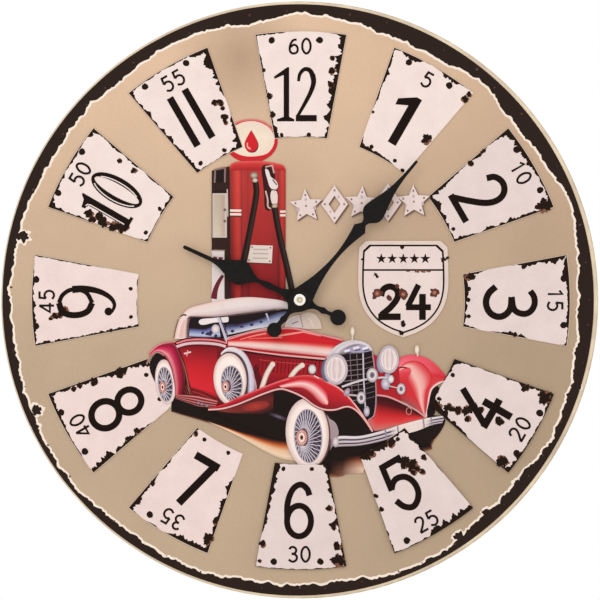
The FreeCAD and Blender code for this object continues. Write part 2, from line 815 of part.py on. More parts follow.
def make_going_train():
    fifth = new_body("fifth_wheel", at_arbor(fifth_spot))
    disc(fifth, "arbor", dim.pivot_radius, dim.pivot_rear, dim.pivot_front)
    toothed_disc(fifth, "teeth", dim.fifth_teeth, dim.rotor_module,
                 dim.fifth_wheel_rear, dim.fifth_wheel_front, dim.rotor_direction.value)
    toothed_disc(fifth, "leaves", dim.fifth_leaves, dim.fifth_module,
                 dim.fifth_wheel_front, dim.fifth_leaves_front,
                 gap_towards(straight_back(dim.fifth_direction.value), dim.fifth_leaves))
    seconds = new_body("seconds_wheel")
    disc(seconds, "pivot", dim.pivot_radius, dim.pivot_rear, dim.seconds_wheel_rear)
    disc(seconds, "arbor", dim.seconds_arbor_radius, dim.seconds_wheel_rear, dim.seconds_arbor_end)
    toothed_disc(seconds, "teeth", dim.seconds_teeth, dim.fifth_module,
                 dim.seconds_wheel_rear, dim.seconds_wheel_front, dim.fifth_direction.value)
    toothed_disc(seconds, "leaves", dim.seconds_leaves, dim.seconds_module,
                 dim.seconds_wheel_front, dim.seconds_leaves_front,
                 gap_towards(dim.third_direction.value, dim.seconds_leaves))
    third = new_body("third_wheel", at_arbor(third_spot))
    disc(third, "arbor", dim.pivot_radius, dim.pivot_rear, dim.pivot_front)
    toothed_disc(third, "teeth", dim.third_teeth, dim.seconds_module,
                 dim.third_wheel_rear, dim.third_wheel_front, straight_back(dim.third_direction.value))
    toothed_disc(third, "leaves", dim.third_leaves, dim.third_module,
                 dim.third_wheel_front, dim.third_leaves_front,
                 gap_towards(straight_back(dim.third_direction.value), dim.third_leaves))
    centre = new_body("centre_wheel")
    toothed_disc(centre, "teeth", dim.centre_teeth, dim.third_module,
                 dim.centre_wheel_rear, dim.centre_wheel_front, dim.third_direction.value,
                 bore=dim.wheel_bore_radius)


def make_clutch_spring():
    """Three slanted arms press the centre wheel against the flange of the minute pipe."""
    body = new_body("clutch_spring")
    disc(body, "collar", dim.spring_collar_radius, dim.spring_rear, dim.spring_front,
         bore=dim.minute_pipe_radius)
    arm = new_sketch(body, "arm", plane="XZ_Plane")
    polygon(arm, [(dim.spring_arm_start, dim.spring_rear), (dim.spring_arm_end, dim.spring_tip_rear),
                  (dim.spring_arm_end, dim.spring_tip_front), (dim.spring_arm_start, dim.spring_front)])
    repeat_around(body, pad(body, arm, dim.spring_arm_width, both_ways=True), dim.spring_arms)


def make_motion_work():
    pipe = new_body("minute_pipe")
    bore = dim.minute_pipe_bore_radius
    disc(pipe, "flange", dim.pipe_flange_radius, dim.pipe_flange_rear, dim.pipe_flange_front, bore=bore)
    disc(pipe, "pipe", dim.minute_pipe_radius, dim.pipe_flange_front, dim.minute_pipe_shoulder, bore=bore)
    toothed_disc(pipe, "leaves", dim.cannon_leaves, dim.setting_module,
                 dim.cannon_leaves_rear, dim.cannon_leaves_front,
                 gap_towards(dim.minute_wheel_direction.value, dim.cannon_leaves), bore=bore)
    disc(pipe, "end", dim.minute_pipe_radius, dim.minute_pipe_shoulder, dim.minute_pipe_end, bore=bore)
    flats = new_sketch(pipe, "flats", dim.minute_pipe_end, turn=-dim.minute_hand_direction.value)
    reach = dim.minute_pipe_radius + dim.cut_overrun
    for side in (-1, 1):
        rectangle(flats, dim.minute_pipe_flat * side, reach * side, -reach, reach)
    pocket(pipe, flats, dim.minute_pipe_end - dim.minute_pipe_shoulder)
    wheel = new_body("minute_wheel", at_arbor(minute_wheel_spot))
    disc(wheel, "arbor", dim.pivot_radius, dim.minute_arbor_rear, dim.minute_arbor_front)
    toothed_disc(wheel, "teeth", dim.minute_wheel_teeth, dim.setting_module,
                 dim.minute_wheel_rear, dim.minute_wheel_front,
                 straight_back(dim.minute_wheel_direction.value))
    toothed_disc(wheel, "leaves", dim.minute_wheel_leaves, dim.hour_module,
                 dim.minute_wheel_front, dim.minute_leaves_front,
                 gap_towards(straight_back(dim.minute_wheel_direction.value), dim.minute_wheel_leaves))
    hour = new_body("hour_wheel")
    bore = dim.wheel_bore_radius
    disc(hour, "pipe", dim.hour_pipe_radius, dim.hour_wheel_rear, dim.hour_pipe_end, bore=bore)
    toothed_disc(hour, "teeth", dim.hour_teeth, dim.hour_module, dim.hour_wheel_rear, dim.hour_wheel_front,
                 dim.minute_wheel_direction.value, bore=bore)


def make_setting_knob():
    body = new_body("setting_knob", at_arbor(knob_spot))
    knob_front = dim.knob_rear + dim.knob_thickness
    disc(body, "grip", dim.knob_radius, dim.knob_rear, knob_front)
    notch = new_sketch(body, "notch", knob_front)
    circle(notch, dim.knob_notch_radius, dim.knob_radius + dim.knob_notch_reach, 0)
    repeat_around(body, pocket(body, notch, dim.knob_thickness), dim.knob_notches)
    disc(body, "shaft", dim.knob_shaft_radius, knob_front, dim.setting_front)
    pinion = new_body("setting_pinion", at_arbor(knob_spot))
    toothed_disc(pinion, "leaves", dim.cannon_leaves, dim.setting_module,
                 dim.cannon_leaves_rear, dim.setting_front,
                 gap_towards(straight_back(dim.knob_direction.value), dim.cannon_leaves),
                 bore=dim.knob_shaft_radius)


# ---------------------------------------------------------------- battery and its contacts

def make_battery():
    """The cell lies across the movement; its own X axis runs from its flat end to its cap."""
    spot = facing_viewer(-dim.cell_negative_end.value, -dim.cell_height.value)
    can = new_body("battery_can", spot)
    sleeve = new_body("battery_sleeve", spot)
    length = dim.cell_body_length
    cap_end = length + dim.cell_cap_length
    jacket_start = dim.cell_jacket_start
    can_radius = dim.cell_radius - dim.cell_sleeve
    for body, name, start, end, radius, bore in (
            (can, "can", as_size(0), length, can_radius, None),
            (can, "cap", length, cap_end, dim.cell_cap_radius, None),
            (sleeve, "jacket", jacket_start, length - jacket_start, dim.cell_radius, can_radius)):
        sketch = new_sketch(body, name, start, plane="YZ_Plane")
        circle(sketch, radius, 0, dim.cell_depth)
        if bore is not None:
            circle(sketch, bore, 0, dim.cell_depth)
        pad(body, sketch, end - start)


def make_contacts():
    """Bent strips that carry the current from each end of the cell up to the circuit board."""
    thickness = dim.strip_thickness
    inner = dim.strip_inner
    outer = inner + thickness
    height = dim.strip_front - dim.strip_rear
    positive = new_body("battery_contact_positive")
    strip = new_sketch(positive, "strip", dim.strip_rear)
    rectangle(strip, inner, outer, -dim.strip_low, dim.positive_top)
    pad(positive, strip, height)
    tab = new_sketch(positive, "tab", dim.strip_rear)
    rectangle(tab, dim.positive_tab_left, inner, dim.positive_tab_low, dim.positive_top)
    pad(positive, tab, thickness)
    dimple = new_sketch(positive, "dimple", dim.dimple_face, plane="YZ_Plane")
    circle(dimple, dim.dimple_radius, -dim.cell_height, dim.dimple_depth)
    pad(positive, dimple, inner - dim.dimple_face)

    negative = new_body("battery_contact_negative")
    side = new_sketch(negative, "side", dim.strip_rear)
    rectangle(side, -outer, -inner, -dim.strip_low, dim.negative_top)
    pad(negative, side, height)
    rail_low = dim.negative_top - thickness
    rail = new_sketch(negative, "rail", dim.strip_rear)
    rectangle(rail, -inner, dim.rail_end, rail_low, dim.negative_top)
    pad(negative, rail, dim.rail_depth)
    foot = new_sketch(negative, "foot", dim.strip_rear)
    rectangle(foot, dim.foot_left, dim.rail_end, dim.foot_low, rail_low)
    pad(negative, foot, thickness)
    nose = -dim.cell_negative_end - dim.fit_clearance
    back = nose - thickness
    root = -inner - dim.leaf_root_overlap
    front_of_root = root + thickness
    leaf = new_sketch(negative, "leaf", dim.leaf_rear)
    polygon(leaf, [(root, -dim.leaf_top), (front_of_root, -dim.leaf_top),
                   (nose, -dim.leaf_nose_top), (nose, -dim.leaf_nose_low),
                   (front_of_root, -dim.leaf_low), (root, -dim.leaf_low),
                   (back, -dim.leaf_nose_low), (back, -dim.leaf_nose_top),
                   (root, -dim.leaf_top - dim.leaf_heel)])
    pad(negative, leaf, dim.leaf_depth)


# ---------------------------------------------------------------- hands

def hand_body(name, depth, direction):
    """Body whose own +Y axis points along the hand, which is turned clockwise from twelve."""
    body = new_body(name, facing_viewer(turn=-direction.value))
    return body, new_sketch(body, "outline", depth)


def mirrored(points):
    return [Vector(-point.x, point.y, 0) for point in reversed(points)]


def smooth_edge(points):
    """One edge through the points: a line through two, a spline through more."""
    if len(points) == 2:
        return Part.LineSegment(*points)
    curve = Part.BSplineCurve()
    curve.interpolate(points)
    return curve


def hand_outline(sketch, ball_centre, ball_radius, tip, runs):
    """Draw a hand about its own Y axis.

    runs are the smooth stretches of its right side from the tail's ball to the
    tip, each a list of (half width, distance from the shaft).
    """
    stretches = [[Vector(half_width, along, 0) for half_width, along in run] for run in runs]
    neck = stretches[0][0]
    ball_depth = (ball_radius ** 2 - neck.x ** 2) ** 0.5
    neck_on_ball = Vector(neck.x, ball_centre + ball_depth, 0)
    stretches[0][0] = neck_on_ball
    shoulder = stretches[-1][-1]
    ball_bottom = Vector(0, ball_centre - ball_radius, 0)
    sketch.addGeometry(Part.Arc(mirrored([neck_on_ball])[0], ball_bottom, neck_on_ball))
    for stretch in stretches:
        sketch.addGeometry(smooth_edge(stretch))
    sketch.addGeometry(Part.Arc(shoulder, Vector(0, tip, 0), mirrored([shoulder])[0]))
    for stretch in reversed(stretches):
        sketch.addGeometry(smooth_edge(mirrored(stretch)))


def make_hour_hand():
    body, outline = hand_body("hour_hand", dim.hour_hand_depth, dim.hour_hand_direction)
    hand_outline(outline, ball_centre=-23.9, ball_radius=4.5, tip=72.6, runs=[
        [(1.2, -19.6), (1.1, -17.0)],
        [(1.1, -17.0), (2.0, -14.4)],
        [(2.0, -14.4), (1.35, -12.4), (1.25, -10.6), (1.7, -8.6), (3.0, -6.6), (5.2, -4.2), (6.0, -0.6),
         (5.4, 3.6), (3.9, 6.4), (2.5, 9.4), (1.5, 13.0), (1.6, 16.4), (1.95, 19.6), (1.5, 22.6),
         (1.15, 25.0),
         (1.7, 27.6), (4.2, 31.4), (6.5, 34.6), (7.1, 37.4), (6.2, 40.8), (4.3, 45.0), (2.4, 49.6),
         (1.25, 54.6)],
        [(1.25, 54.6), (1.05, 71.5)]])
    circle(outline, dim.rivet_radius)
    pad(body, outline, dim.hand_thickness)
    collet = new_body("hour_hand_collet")
    hand_front = dim.hour_hand_depth + dim.hand_thickness
    hand_rear = dim.hour_hand_depth
    for name, radius, rear, front in (
            ("back_flange", dim.bush_flange_radius, hand_rear - dim.bush_flange, hand_rear),
            ("barrel", dim.rivet_radius, hand_rear, hand_front),
            ("collar", dim.collar_radius, hand_front, hand_front + dim.collar_height)):
        disc(collet, name, radius, rear, front, bore=dim.hour_pipe_radius)


def make_minute_hand():
    body, outline = hand_body("minute_hand", dim.minute_hand_depth, dim.minute_hand_direction)
    hand_outline(outline, ball_centre=-22.2, ball_radius=4.15, tip=102.9, runs=[
        [(1.5, -18.3), (1.4, -16.4)],
        [(1.4, -16.4), (2.0, -14.2)],
        [(2.0, -14.2), (1.45, -12.4), (1.25, -10.8), (1.6, -8.9), (3.0, -6.8), (5.2, -4.4), (6.4, -0.8),
         (6.3, 3.2)],
        [(6.3, 3.2), (4.7, 8.4), (3.1, 14.6), (1.85, 22.4), (1.25, 30.6), (1.4, 37.0), (2.2, 44.0),
         (3.1, 48.8), (3.95, 52.6)],
        [(3.95, 52.6), (1.75, 55.6)],
        [(1.75, 55.6), (1.8, 57.6), (3.6, 59.8), (5.5, 61.8), (6.2, 64.4), (5.7, 67.8), (4.2, 73.0),
         (2.45, 79.6), (1.45, 86.2), (0.95, 92.0)],
        [(0.95, 92.0), (0.8, 102.1)]])
    circle(outline, dim.rivet_radius)
    pad(body, outline, dim.hand_thickness)
    hand_front = dim.minute_hand_depth + dim.hand_thickness
    bush = new_body("minute_hand_bush", facing_viewer(turn=-dim.minute_hand_direction.value))
    hand_rear = dim.minute_hand_depth
    rivet_front = hand_front + dim.rivet_height
    for name, radius, rear, front in (
            ("back_flange", dim.bush_flange_radius, hand_rear - dim.bush_flange, hand_rear),
            ("barrel", dim.rivet_radius, hand_rear, hand_front),
            ("rivet", dim.collar_radius, hand_front, rivet_front)):
        disc(bush, name, radius, rear, front)
    hole = new_sketch(bush, "hole", rivet_front)
    flat = dim.minute_pipe_flat.value
    radius = dim.minute_pipe_radius.value
    flat_half = (radius ** 2 - flat ** 2) ** 0.5
    for side in (-1, 1):
        hole.addGeometry(Part.LineSegment(Vector(side * flat, -flat_half, 0),
                                          Vector(side * flat, flat_half, 0)))
        hole.addGeometry(Part.Arc(Vector(-flat, side * flat_half, 0), Vector(0, side * radius, 0),
                                  Vector(flat, side * flat_half, 0)))
    pocket(bush, hole, dim.bush_flange + dim.hand_thickness + dim.rivet_height)


def make_hand_nut():
    """Open round nut: the end of the shaft shows through it."""
    rear = dim.minute_hand_depth + dim.hand_thickness + dim.rivet_height
    front = rear + dim.hand_nut_length
    body = ring("hand_nut", dim.hand_nut_radius, dim.minute_pipe_radius, rear, front)
    dress(body, "Fillet", dim.hand_nut_round, round_edge(dim.hand_nut_radius.value, front.value))


# ---------------------------------------------------------------- build, check and write

def build_clock():
    make_board()
    make_print()
    make_hanger()
    ring("rubber_washer", dim.rubber_radius, dim.clamp_bore_radius, hanger_front, board_rear)
    ring("brass_washer", dim.washer_radius, dim.clamp_bore_radius, print_front, washer_front)
    make_nut()
    make_front_case()
    make_bushing()
    make_rear_cover()
    make_gear_plate()
    make_stator()
    make_coil()
    make_circuit()
    make_rotor()
    make_going_train()
    make_clutch_spring()
    make_motion_work()
    make_setting_knob()
    make_battery()
    make_contacts()
    make_hour_hand()
    make_minute_hand()
    make_hand_nut()
    doc.recompute()


def check_document():
    """Stop with a message if an object failed or a cut removed nothing."""
    for thing in doc.Objects:
        if "Invalid" in thing.State or "Error" in thing.State:
            raise RuntimeError(f"{thing.Name} is {thing.State}")
        if thing.TypeId == "PartDesign::Pocket":
            removed = thing.BaseFeature.Shape.Volume - thing.Shape.Volume
            if removed < 0.001:
                raise RuntimeError(f"{thing.Name} cuts nothing")
    for part in sub_parts:
        if part.Shape.isNull() or not part.Shape.isValid() or len(part.Shape.Solids) != 1:
            raise RuntimeError(f"{part.Label} is not one valid solid")


def write_parts():
    os.makedirs("parts", exist_ok=True)
    for part in sub_parts:
        part.Shape.exportStep(f"parts/{part.Label}.step")
        box = part.Shape.BoundBox
        print(f"{part.Label:26s} {part.Shape.Volume:11.2f} mm3  x {box.XMin:.2f}..{box.XMax:.2f}"
              f"  y {box.YMin:.2f}..{box.YMax:.2f}  z {box.ZMin:.2f}..{box.ZMax:.2f}")


build_clock()
check_document()
write_parts()
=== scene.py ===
"""Looks of the service station advertising clock: board, printed face, hands and quartz movement."""
import math

import bpy
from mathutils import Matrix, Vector, noise
from mathutils.geometry import delaunay_2d_cdt, tessellate_polygon


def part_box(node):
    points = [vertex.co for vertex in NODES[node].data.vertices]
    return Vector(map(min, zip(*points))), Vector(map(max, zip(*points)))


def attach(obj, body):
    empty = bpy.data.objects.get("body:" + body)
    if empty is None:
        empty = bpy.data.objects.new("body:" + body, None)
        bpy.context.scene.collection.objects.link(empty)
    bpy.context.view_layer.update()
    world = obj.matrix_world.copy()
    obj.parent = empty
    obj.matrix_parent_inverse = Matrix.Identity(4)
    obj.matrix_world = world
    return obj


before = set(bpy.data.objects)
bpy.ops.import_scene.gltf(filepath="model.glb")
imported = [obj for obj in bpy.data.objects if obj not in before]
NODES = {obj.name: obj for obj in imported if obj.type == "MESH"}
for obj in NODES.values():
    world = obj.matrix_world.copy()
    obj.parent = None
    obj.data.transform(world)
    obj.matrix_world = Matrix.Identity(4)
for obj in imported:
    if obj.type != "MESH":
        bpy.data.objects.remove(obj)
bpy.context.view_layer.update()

MM = 0.001
FACE_DEPTH = -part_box("dial_print")[0].y / MM      # front of the printed paper, in mm from the wall
INK_STEP = 0.016          # mm between one printed layer and the next
SHAPE_RISE = 0.2          # layers from one shape to the next
LINE_RISE = 0.04          # layers from one stroke to the next


# ---------------------------------------------------------------- colours

def colour(red, green, blue):
    """A screen colour, 0 to 255, as the linear values a shader takes."""
    def linear(value):
        share = value / 255
        return share / 12.92 if share <= 0.04045 else ((share + 0.055) / 1.055) ** 2.4
    return (linear(red), linear(green), linear(blue), 1.0)


def linear_ink(ink):
    """An ink as linear values. One with three values is a screen colour, one with four is linear already."""
    return colour(*ink) if len(ink) == 3 else ink


def mixed(first, second, share):
    """An ink on the way from the first to the second, linear."""
    return tuple(a + (b - a) * share for a, b in zip(linear_ink(first), linear_ink(second)))


def blended(stops, ink, share):
    """The stops of a band with each ink mixed with another one."""
    return [(place, mixed(own, ink, share)) for place, own in stops]


# Inks, as screen colours.
# The three plaque whites below are one white in three tones, set lighter or greyer by painted light and
# shade.
PAPER_WHITE = (240, 222, 215)
PINK_WHITE = (238, 216, 210)
SHADED_GREY_WHITE = (229, 211, 206)
CREAM = (241, 222, 200)
INK_BLACK = (26, 14, 8)
CHIP_BROWN = (34, 20, 12)
RUST = (128, 84, 66)
RED = (208, 38, 46)
MAROON = (84, 22, 28)
PINK = (243, 152, 152)
PALE_PINK = (246, 206, 202)
SHADOW_BLACK = (30, 21, 18)


# ---------------------------------------------------------------- outlines, all in mm

def along(start, end, share):
    return (start[0] + (end[0] - start[0]) * share, start[1] + (end[1] - start[1]) * share)


def gap(start, end):
    """The distance between two points."""
    return math.hypot(end[0] - start[0], end[1] - start[1])


def smooth(points, closed=False, steps=5):
    """A rounded run through the points. A point given twice in a row stays a corner."""
    count = len(points)
    run = []
    for i in range(count if closed else count - 1):
        start, end = points[i], points[(i + 1) % count]
        span = gap(start, end)
        if span == 0:
            continue
        before = points[(i - 1) % count] if closed or i > 0 else start
        after = points[(i + 2) % count] if closed or i < count - 2 else end
        leave = slope(before, end, span)
        arrive = slope(start, after, span)
        for k in range(steps):
            t = k / steps
            a, b = 2 * t**3 - 3 * t**2 + 1, t**3 - 2 * t**2 + t
            c, d = 3 * t**2 - 2 * t**3, t**3 - t**2
            run.append(tuple(a * start[n] + b * leave[n] + c * end[n] + d * arrive[n] for n in (0, 1)))
    if not closed:
        run.append(tuple(points[-1]))
    return run


def slope(start, end, span):
    """The direction from start to end, as long as span."""
    length = gap(start, end) or 1.0
    return ((end[0] - start[0]) / length * span, (end[1] - start[1]) / length * span)


def ellipse(centre, across, up=None, tilt=0.0, start=0.0, end=360.0, count=40):
    """Points on an ellipse with the half-widths across and up, turned by tilt degrees."""
    up = across if up is None else up
    whole = abs(end - start) >= 360
    c, s = math.cos(math.radians(tilt)), math.sin(math.radians(tilt))
    points = []
    for i in range(count if whole else count + 1):
        angle = math.radians(start + (end - start) * i / count)
        x, z = across * math.cos(angle), up * math.sin(angle)
        points.append((centre[0] + x * c - z * s, centre[1] + x * s + z * c))
    return points


def box(left, low, right, high):
    return [(left, low), (right, low), (right, high), (left, high)]


def moved(outline, across, up):
    return [(x + across, z + up) for x, z in outline]


def spaced(points, count, closed=False):
    """The same run with count points, evenly spaced."""
    points = list(points) + ([points[0]] if closed else [])
    marks = [0.0]
    for start, end in zip(points, points[1:]):
        marks.append(marks[-1] + gap(start, end))
    result, k = [], 0
    for i in range(count):
        mark = marks[-1] * i / (count if closed else count - 1)
        while k < len(marks) - 2 and marks[k + 1] < mark:
            k += 1
        span = marks[k + 1] - marks[k] or 1.0
        result.append(along(points[k], points[k + 1], (mark - marks[k]) / span))
    return result


def length_of(points, closed=False):
    ends = points[1:] + ([points[0]] if closed else [])
    return sum(gap(start, end) for start, end in zip(points, ends))


def rough(place, seed, size=1.0):
    """Smooth random value from -1 to 1 that depends only on the place and the seed."""
    return noise.noise(Vector((place[0] * size, place[1] * size, seed * 7.31)))


def chipped(points, depth, seed, step=0.6):
    """The closed outline with its edge broken up by about depth."""
    count = max(12, int(length_of(points, True) / step))
    even = spaced(points, count, closed=True)
    result = []
    for i, place in enumerate(even):
        before, after = even[i - 1], even[(i + 1) % count]
        length = gap(before, after) or 1.0
        push = depth * (rough(place, seed, 0.45) * 1.6 + rough(place, seed + 5, 1.7) * 0.8)
        result.append((
            place[0] + (after[1] - before[1]) / length * push,
            place[1] - (after[0] - before[0]) / length * push))
    return result


def sides_of(path, widths, closed=False):
    """The two edges of a stroke along path. widths is one number, or one for each end."""
    count = len(path)
    left, right = [], []
    for i, place in enumerate(path):
        before = path[i - 1] if i > 0 or closed else place
        after = path[(i + 1) % count] if i < count - 1 or closed else place
        a, b = slope(before, place, 1.0), slope(place, after, 1.0)
        x, z = a[0] + b[0], a[1] + b[1]
        size = math.hypot(x, z) or 1.0
        x, z = x / size, z / size
        bend = max(0.6, a[0] * x + a[1] * z) if before != place and place != after else 1.0
        if isinstance(widths, (int, float)):
            half = widths / 2
        else:
            half = (widths[0] + (widths[1] - widths[0]) * i / (count - 1)) / 2
        half = half / bend
        left.append((place[0] - z * half, place[1] + x * half))
        right.append((place[0] + z * half, place[1] - x * half))
    return left, right


# ---------------------------------------------------------------- flat printed pieces

class Print:
    """Flat ink shapes that become one piece. Each shape lies just over the one before it, and the piece lies
    over the pieces it covers. Each corner keeps its own ink: (red, green, blue) from 0 to 255."""

    stack = []                # the extent and the top layer of each piece so far

    def __init__(self, name, place=None):
        self.name, self.place, self.layer = name, place, 1.0
        self.corners, self.faces, self.inks = [], [], []

    def over(self, layers=1.0):
        """What is drawn next lies over what is there."""
        self.layer += layers

    def corner(self, point, ink):
        x, z = self.place(point) if self.place else point
        self.corners.append((x, z, self.layer))
        self.inks.append(linear_ink(ink))
        return len(self.corners) - 1

    def face(self, indices):
        points = [self.corners[i] for i in indices]
        turn = sum(a[0] * b[1] - b[0] * a[1] for a, b in zip(points, points[1:] + points[:1]))
        if abs(turn) > 1e-7:
            self.faces.append(list(indices) if turn > 0 else list(reversed(indices)))

    def fill(self, outline, ink):
        """One flat colour inside the outline, which may cross itself."""
        self.over(SHAPE_RISE)
        count = len(outline)
        edges = [(i, (i + 1) % count) for i in range(count)]
        points, _, triangles, *_ = delaunay_2d_cdt([Vector(point) for point in outline], edges, [], 1, 1e-4)
        made = [self.corner(tuple(point), ink) for point in points]
        for triangle in triangles:
            self.face([made[i] for i in triangle])

    def fill_round(self, outline, hole, ink):
        """One flat colour between the outline and the hole."""
        self.over(SHAPE_RISE)
        made = [self.corner(point, ink) for point in outline + hole]
        for triangle in tessellate_polygon([
                [Vector((x, z, 0)) for x, z in loop] for loop in (outline, hole)]):
            self.face([made[i] for i in triangle])

    def band(self, edge, far_edge, stops, end_stops=None, count=22):
        """A strip from edge to far_edge. stops are (share across, ink) and may change to end_stops."""
        self.over(SHAPE_RISE)
        edge, far_edge = spaced(edge, count), spaced(far_edge, count)
        end_stops = end_stops or stops
        rows = []
        for i in range(count):
            row = []
            for (share, ink), (_, end_ink) in zip(stops, end_stops):
                place = along(edge[i], far_edge[i], share)
                row.append(self.corner(place, mixed(ink, end_ink, i / (count - 1))))
            rows.append(row)
        for row, after in zip(rows, rows[1:]):
            for k in range(len(stops) - 1):
                self.face([row[k], row[k + 1], after[k + 1], after[k]])

    def line(self, path, width, ink, closed=False):
        """A stroke of one width, or of a pair of widths from start to end."""
        self.over(LINE_RISE)
        left, right = sides_of(path, width, closed)
        if closed:
            left, right = left + left[:1], right + right[:1]
        made = [(self.corner(a, ink), self.corner(b, ink)) for a, b in zip(left, right)]
        for (a, b), (c, d) in zip(made, made[1:]):
            self.face([a, b, d, c])

    def blob(self, points, ink):
        """A filled outline rounded through the points."""
        self.fill(smooth(points, closed=True), ink)

    def sweep(self, points, far_points, stops, end_stops=None, count=22):
        """A band between two rounded runs."""
        self.band(smooth(points), smooth(far_points), stops, end_stops, count)

    def lines(self, *strokes):
        """Several strokes, each (path, width, ink)."""
        for path, width, ink in strokes:
            self.line(path, width, ink)

    def glow(self, centre, across, up, inks, tilt=0.0, count=36):
        """An ellipse whose colour runs from its middle to its rim."""
        self.over(SHAPE_RISE)
        rings = []
        for k, ink in enumerate(inks[1:], 1):
            share = k / (len(inks) - 1)
            points = ellipse(centre, across * share, up * share, tilt, count=count)
            rings.append([self.corner(point, ink) for point in points])
        middle = self.corner(centre, inks[0])
        for i in range(count):
            j = (i + 1) % count
            self.face([middle, rings[0][i], rings[0][j]])
            for ring, outer in zip(rings, rings[1:]):
                self.face([ring[i], outer[i], outer[j], ring[j]])

    def extent(self):
        xs, zs = [x for x, z, layer in self.corners], [z for x, z, layer in self.corners]
        return min(xs), min(zs), max(xs), max(zs)

    def base(self, extent):
        """The top of what the piece lies on."""
        left, low, right, high = extent
        tops = [0.0]
        for (other_left, other_low, other_right, other_high), top in self.stack:
            if left < other_right and other_left < right and low < other_high and other_low < high:
                tops.append(top)
        return max(tops)

    def build(self, material, body="root"):
        extent = self.extent()
        base = self.base(extent)
        self.stack.append((extent, base + self.layer))
        places = [
            (x * MM, -(FACE_DEPTH + (base + layer) * INK_STEP) * MM, z * MM) for x, z,
            layer in self.corners]
        mesh = bpy.data.meshes.new(self.name)
        mesh.from_pydata(places, [], self.faces)
        inks = mesh.color_attributes.new("Ink", "FLOAT_COLOR", "POINT")
        inks.data.foreach_set("color", [value for ink in self.inks for value in ink])
        mesh.materials.append(material)
        piece = bpy.data.objects.new(self.name, mesh)
        bpy.context.scene.collection.objects.link(piece)
        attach(piece, body)


# ---------------------------------------------------------------- materials

WHITE = (1, 1, 1, 1)         # linear


class Finish:
    """A node material around one Principled shader."""

    def __init__(self, name, roughness, metallic=0.0, specular=0.4):
        self.material = bpy.data.materials.new(name)
        self.material.use_nodes = True
        self.tree = self.material.node_tree
        self.shader = self.tree.nodes["Principled BSDF"]
        self.shader.inputs["Roughness"].default_value = roughness
        self.shader.inputs["Metallic"].default_value = metallic
        self.shader.inputs["Specular IOR Level"].default_value = specular

    def node(self, kind, **values):
        made = self.tree.nodes.new("ShaderNode" + kind)
        for name, value in values.items():
            if name in made.inputs:
                self.feed(made.inputs[name], value)
            else:
                setattr(made, name, value)
        return made

    def feed(self, socket, value):
        if isinstance(value, bpy.types.NodeSocket):
            self.tree.links.new(value, socket)
        else:
            socket.default_value = value

    def place(self, stretch=(1, 1, 1)):
        """The place on the object in metres, stretched."""
        where = self.node("TexCoord").outputs["Object"]
        return self.node("Mapping", Vector=where, Scale=stretch).outputs["Vector"]

    def grain(self, scale, stretch=(1, 1, 1), detail=3.0, distortion=0.0):
        """A noise value from 0 to 1."""
        made = self.node(
            "TexNoise", Vector=self.place(stretch), Scale=scale, Detail=detail, Distortion=distortion)
        return made.outputs["Fac"]

    def ramp(self, value, *stops):
        """Colours by value. A stop is (value, colour)."""
        made = self.node("ValToRGB", Fac=value)
        elements = made.color_ramp.elements
        while len(elements) < len(stops):
            elements.new(1.0)
        for element, (position, ink) in zip(elements, stops):
            element.position = position
            element.color = linear_ink(ink)
        return made.outputs["Color"]

    def span(self, value, low, high, start=0.3, end=0.7):
        """value from start..end spread over low..high."""
        made = self.node("MapRange", Value=value)
        for name, number in (("From Min", start), ("From Max", end), ("To Min", low), ("To Max", high)):
            made.inputs[name].default_value = number
        return made.outputs["Result"]

    def near(self, spot, reach, strength):
        """strength at the spot, given in mm, fading to 0 at reach."""
        away = self.node("VectorMath", operation="DISTANCE")
        self.feed(away.inputs[0], self.place())
        away.inputs[1].default_value = [value * MM for value in spot]
        return self.span(away.outputs["Value"], strength, 0.0, 0.0, reach * MM)

    def times(self, first, second, share=1.0):
        """Two colours multiplied."""
        made = self.node("Mix", data_type="RGBA", blend_type="MULTIPLY")
        self.feed(made.inputs[0], share)
        self.feed(made.inputs[6], first)
        self.feed(made.inputs[7], second)
        return made.outputs[2]

    def mix(self, first, second, share):
        made = self.node("Mix", data_type="RGBA")
        self.feed(made.inputs[0], share)
        self.feed(made.inputs[6], first)
        self.feed(made.inputs[7], second)
        return made.outputs[2]

    def tint(self, colour_socket):
        self.feed(self.shader.inputs["Base Color"], colour_socket)

    def clouded(self, base, scale, dark, low=0.3, high=0.7, detail=3.0):
        """The base colour times the dark tint where the grain is low, and unchanged where it is high."""
        return self.times(
            base, self.ramp(self.grain(scale, detail=detail), (low, (*dark, 1)), (high, WHITE)))

    def roughened(self, scale, low, high, stretch=(1, 1, 1)):
        """Roughness from low to high by a grain."""
        self.feed(self.shader.inputs["Roughness"], self.span(self.grain(scale, stretch), low, high))

    def bump(self, height, distance, strength):
        made = self.node("Bump", Height=height, Distance=distance, Strength=strength)
        self.feed(self.shader.inputs["Normal"], made.outputs["Normal"])

    def relief(self, scale, distance, strength, detail=1.0, stretch=(1, 1, 1)):
        """A bump by a grain."""
        self.bump(self.grain(scale, stretch, detail=detail), distance, strength)


def printed_ink():
    """Satin print: the ink colours with slight mottling and paper tooth."""
    finish = Finish("printed ink", 0.55, specular=0.07)
    ink = finish.node("VertexColor", layer_name="Ink").outputs["Color"]
    ink = finish.clouded(ink, 90, (0.93, 0.92, 0.92))
    finish.tint(finish.clouded(ink, 1500, (0.95, 0.94, 0.94), 0.25, 0.5, detail=1))
    finish.roughened(300, 0.48, 0.62)
    finish.relief(2500, 0.00001, 0.3)
    return finish.material


# Darker clouds on the ground: x, z and reach in mm, then strength.
GROUND_CLOUDS = ((-34, 138, 42, 0.8), (58, 42, 50, 0.2), (-6, 70, 24, 0.25))


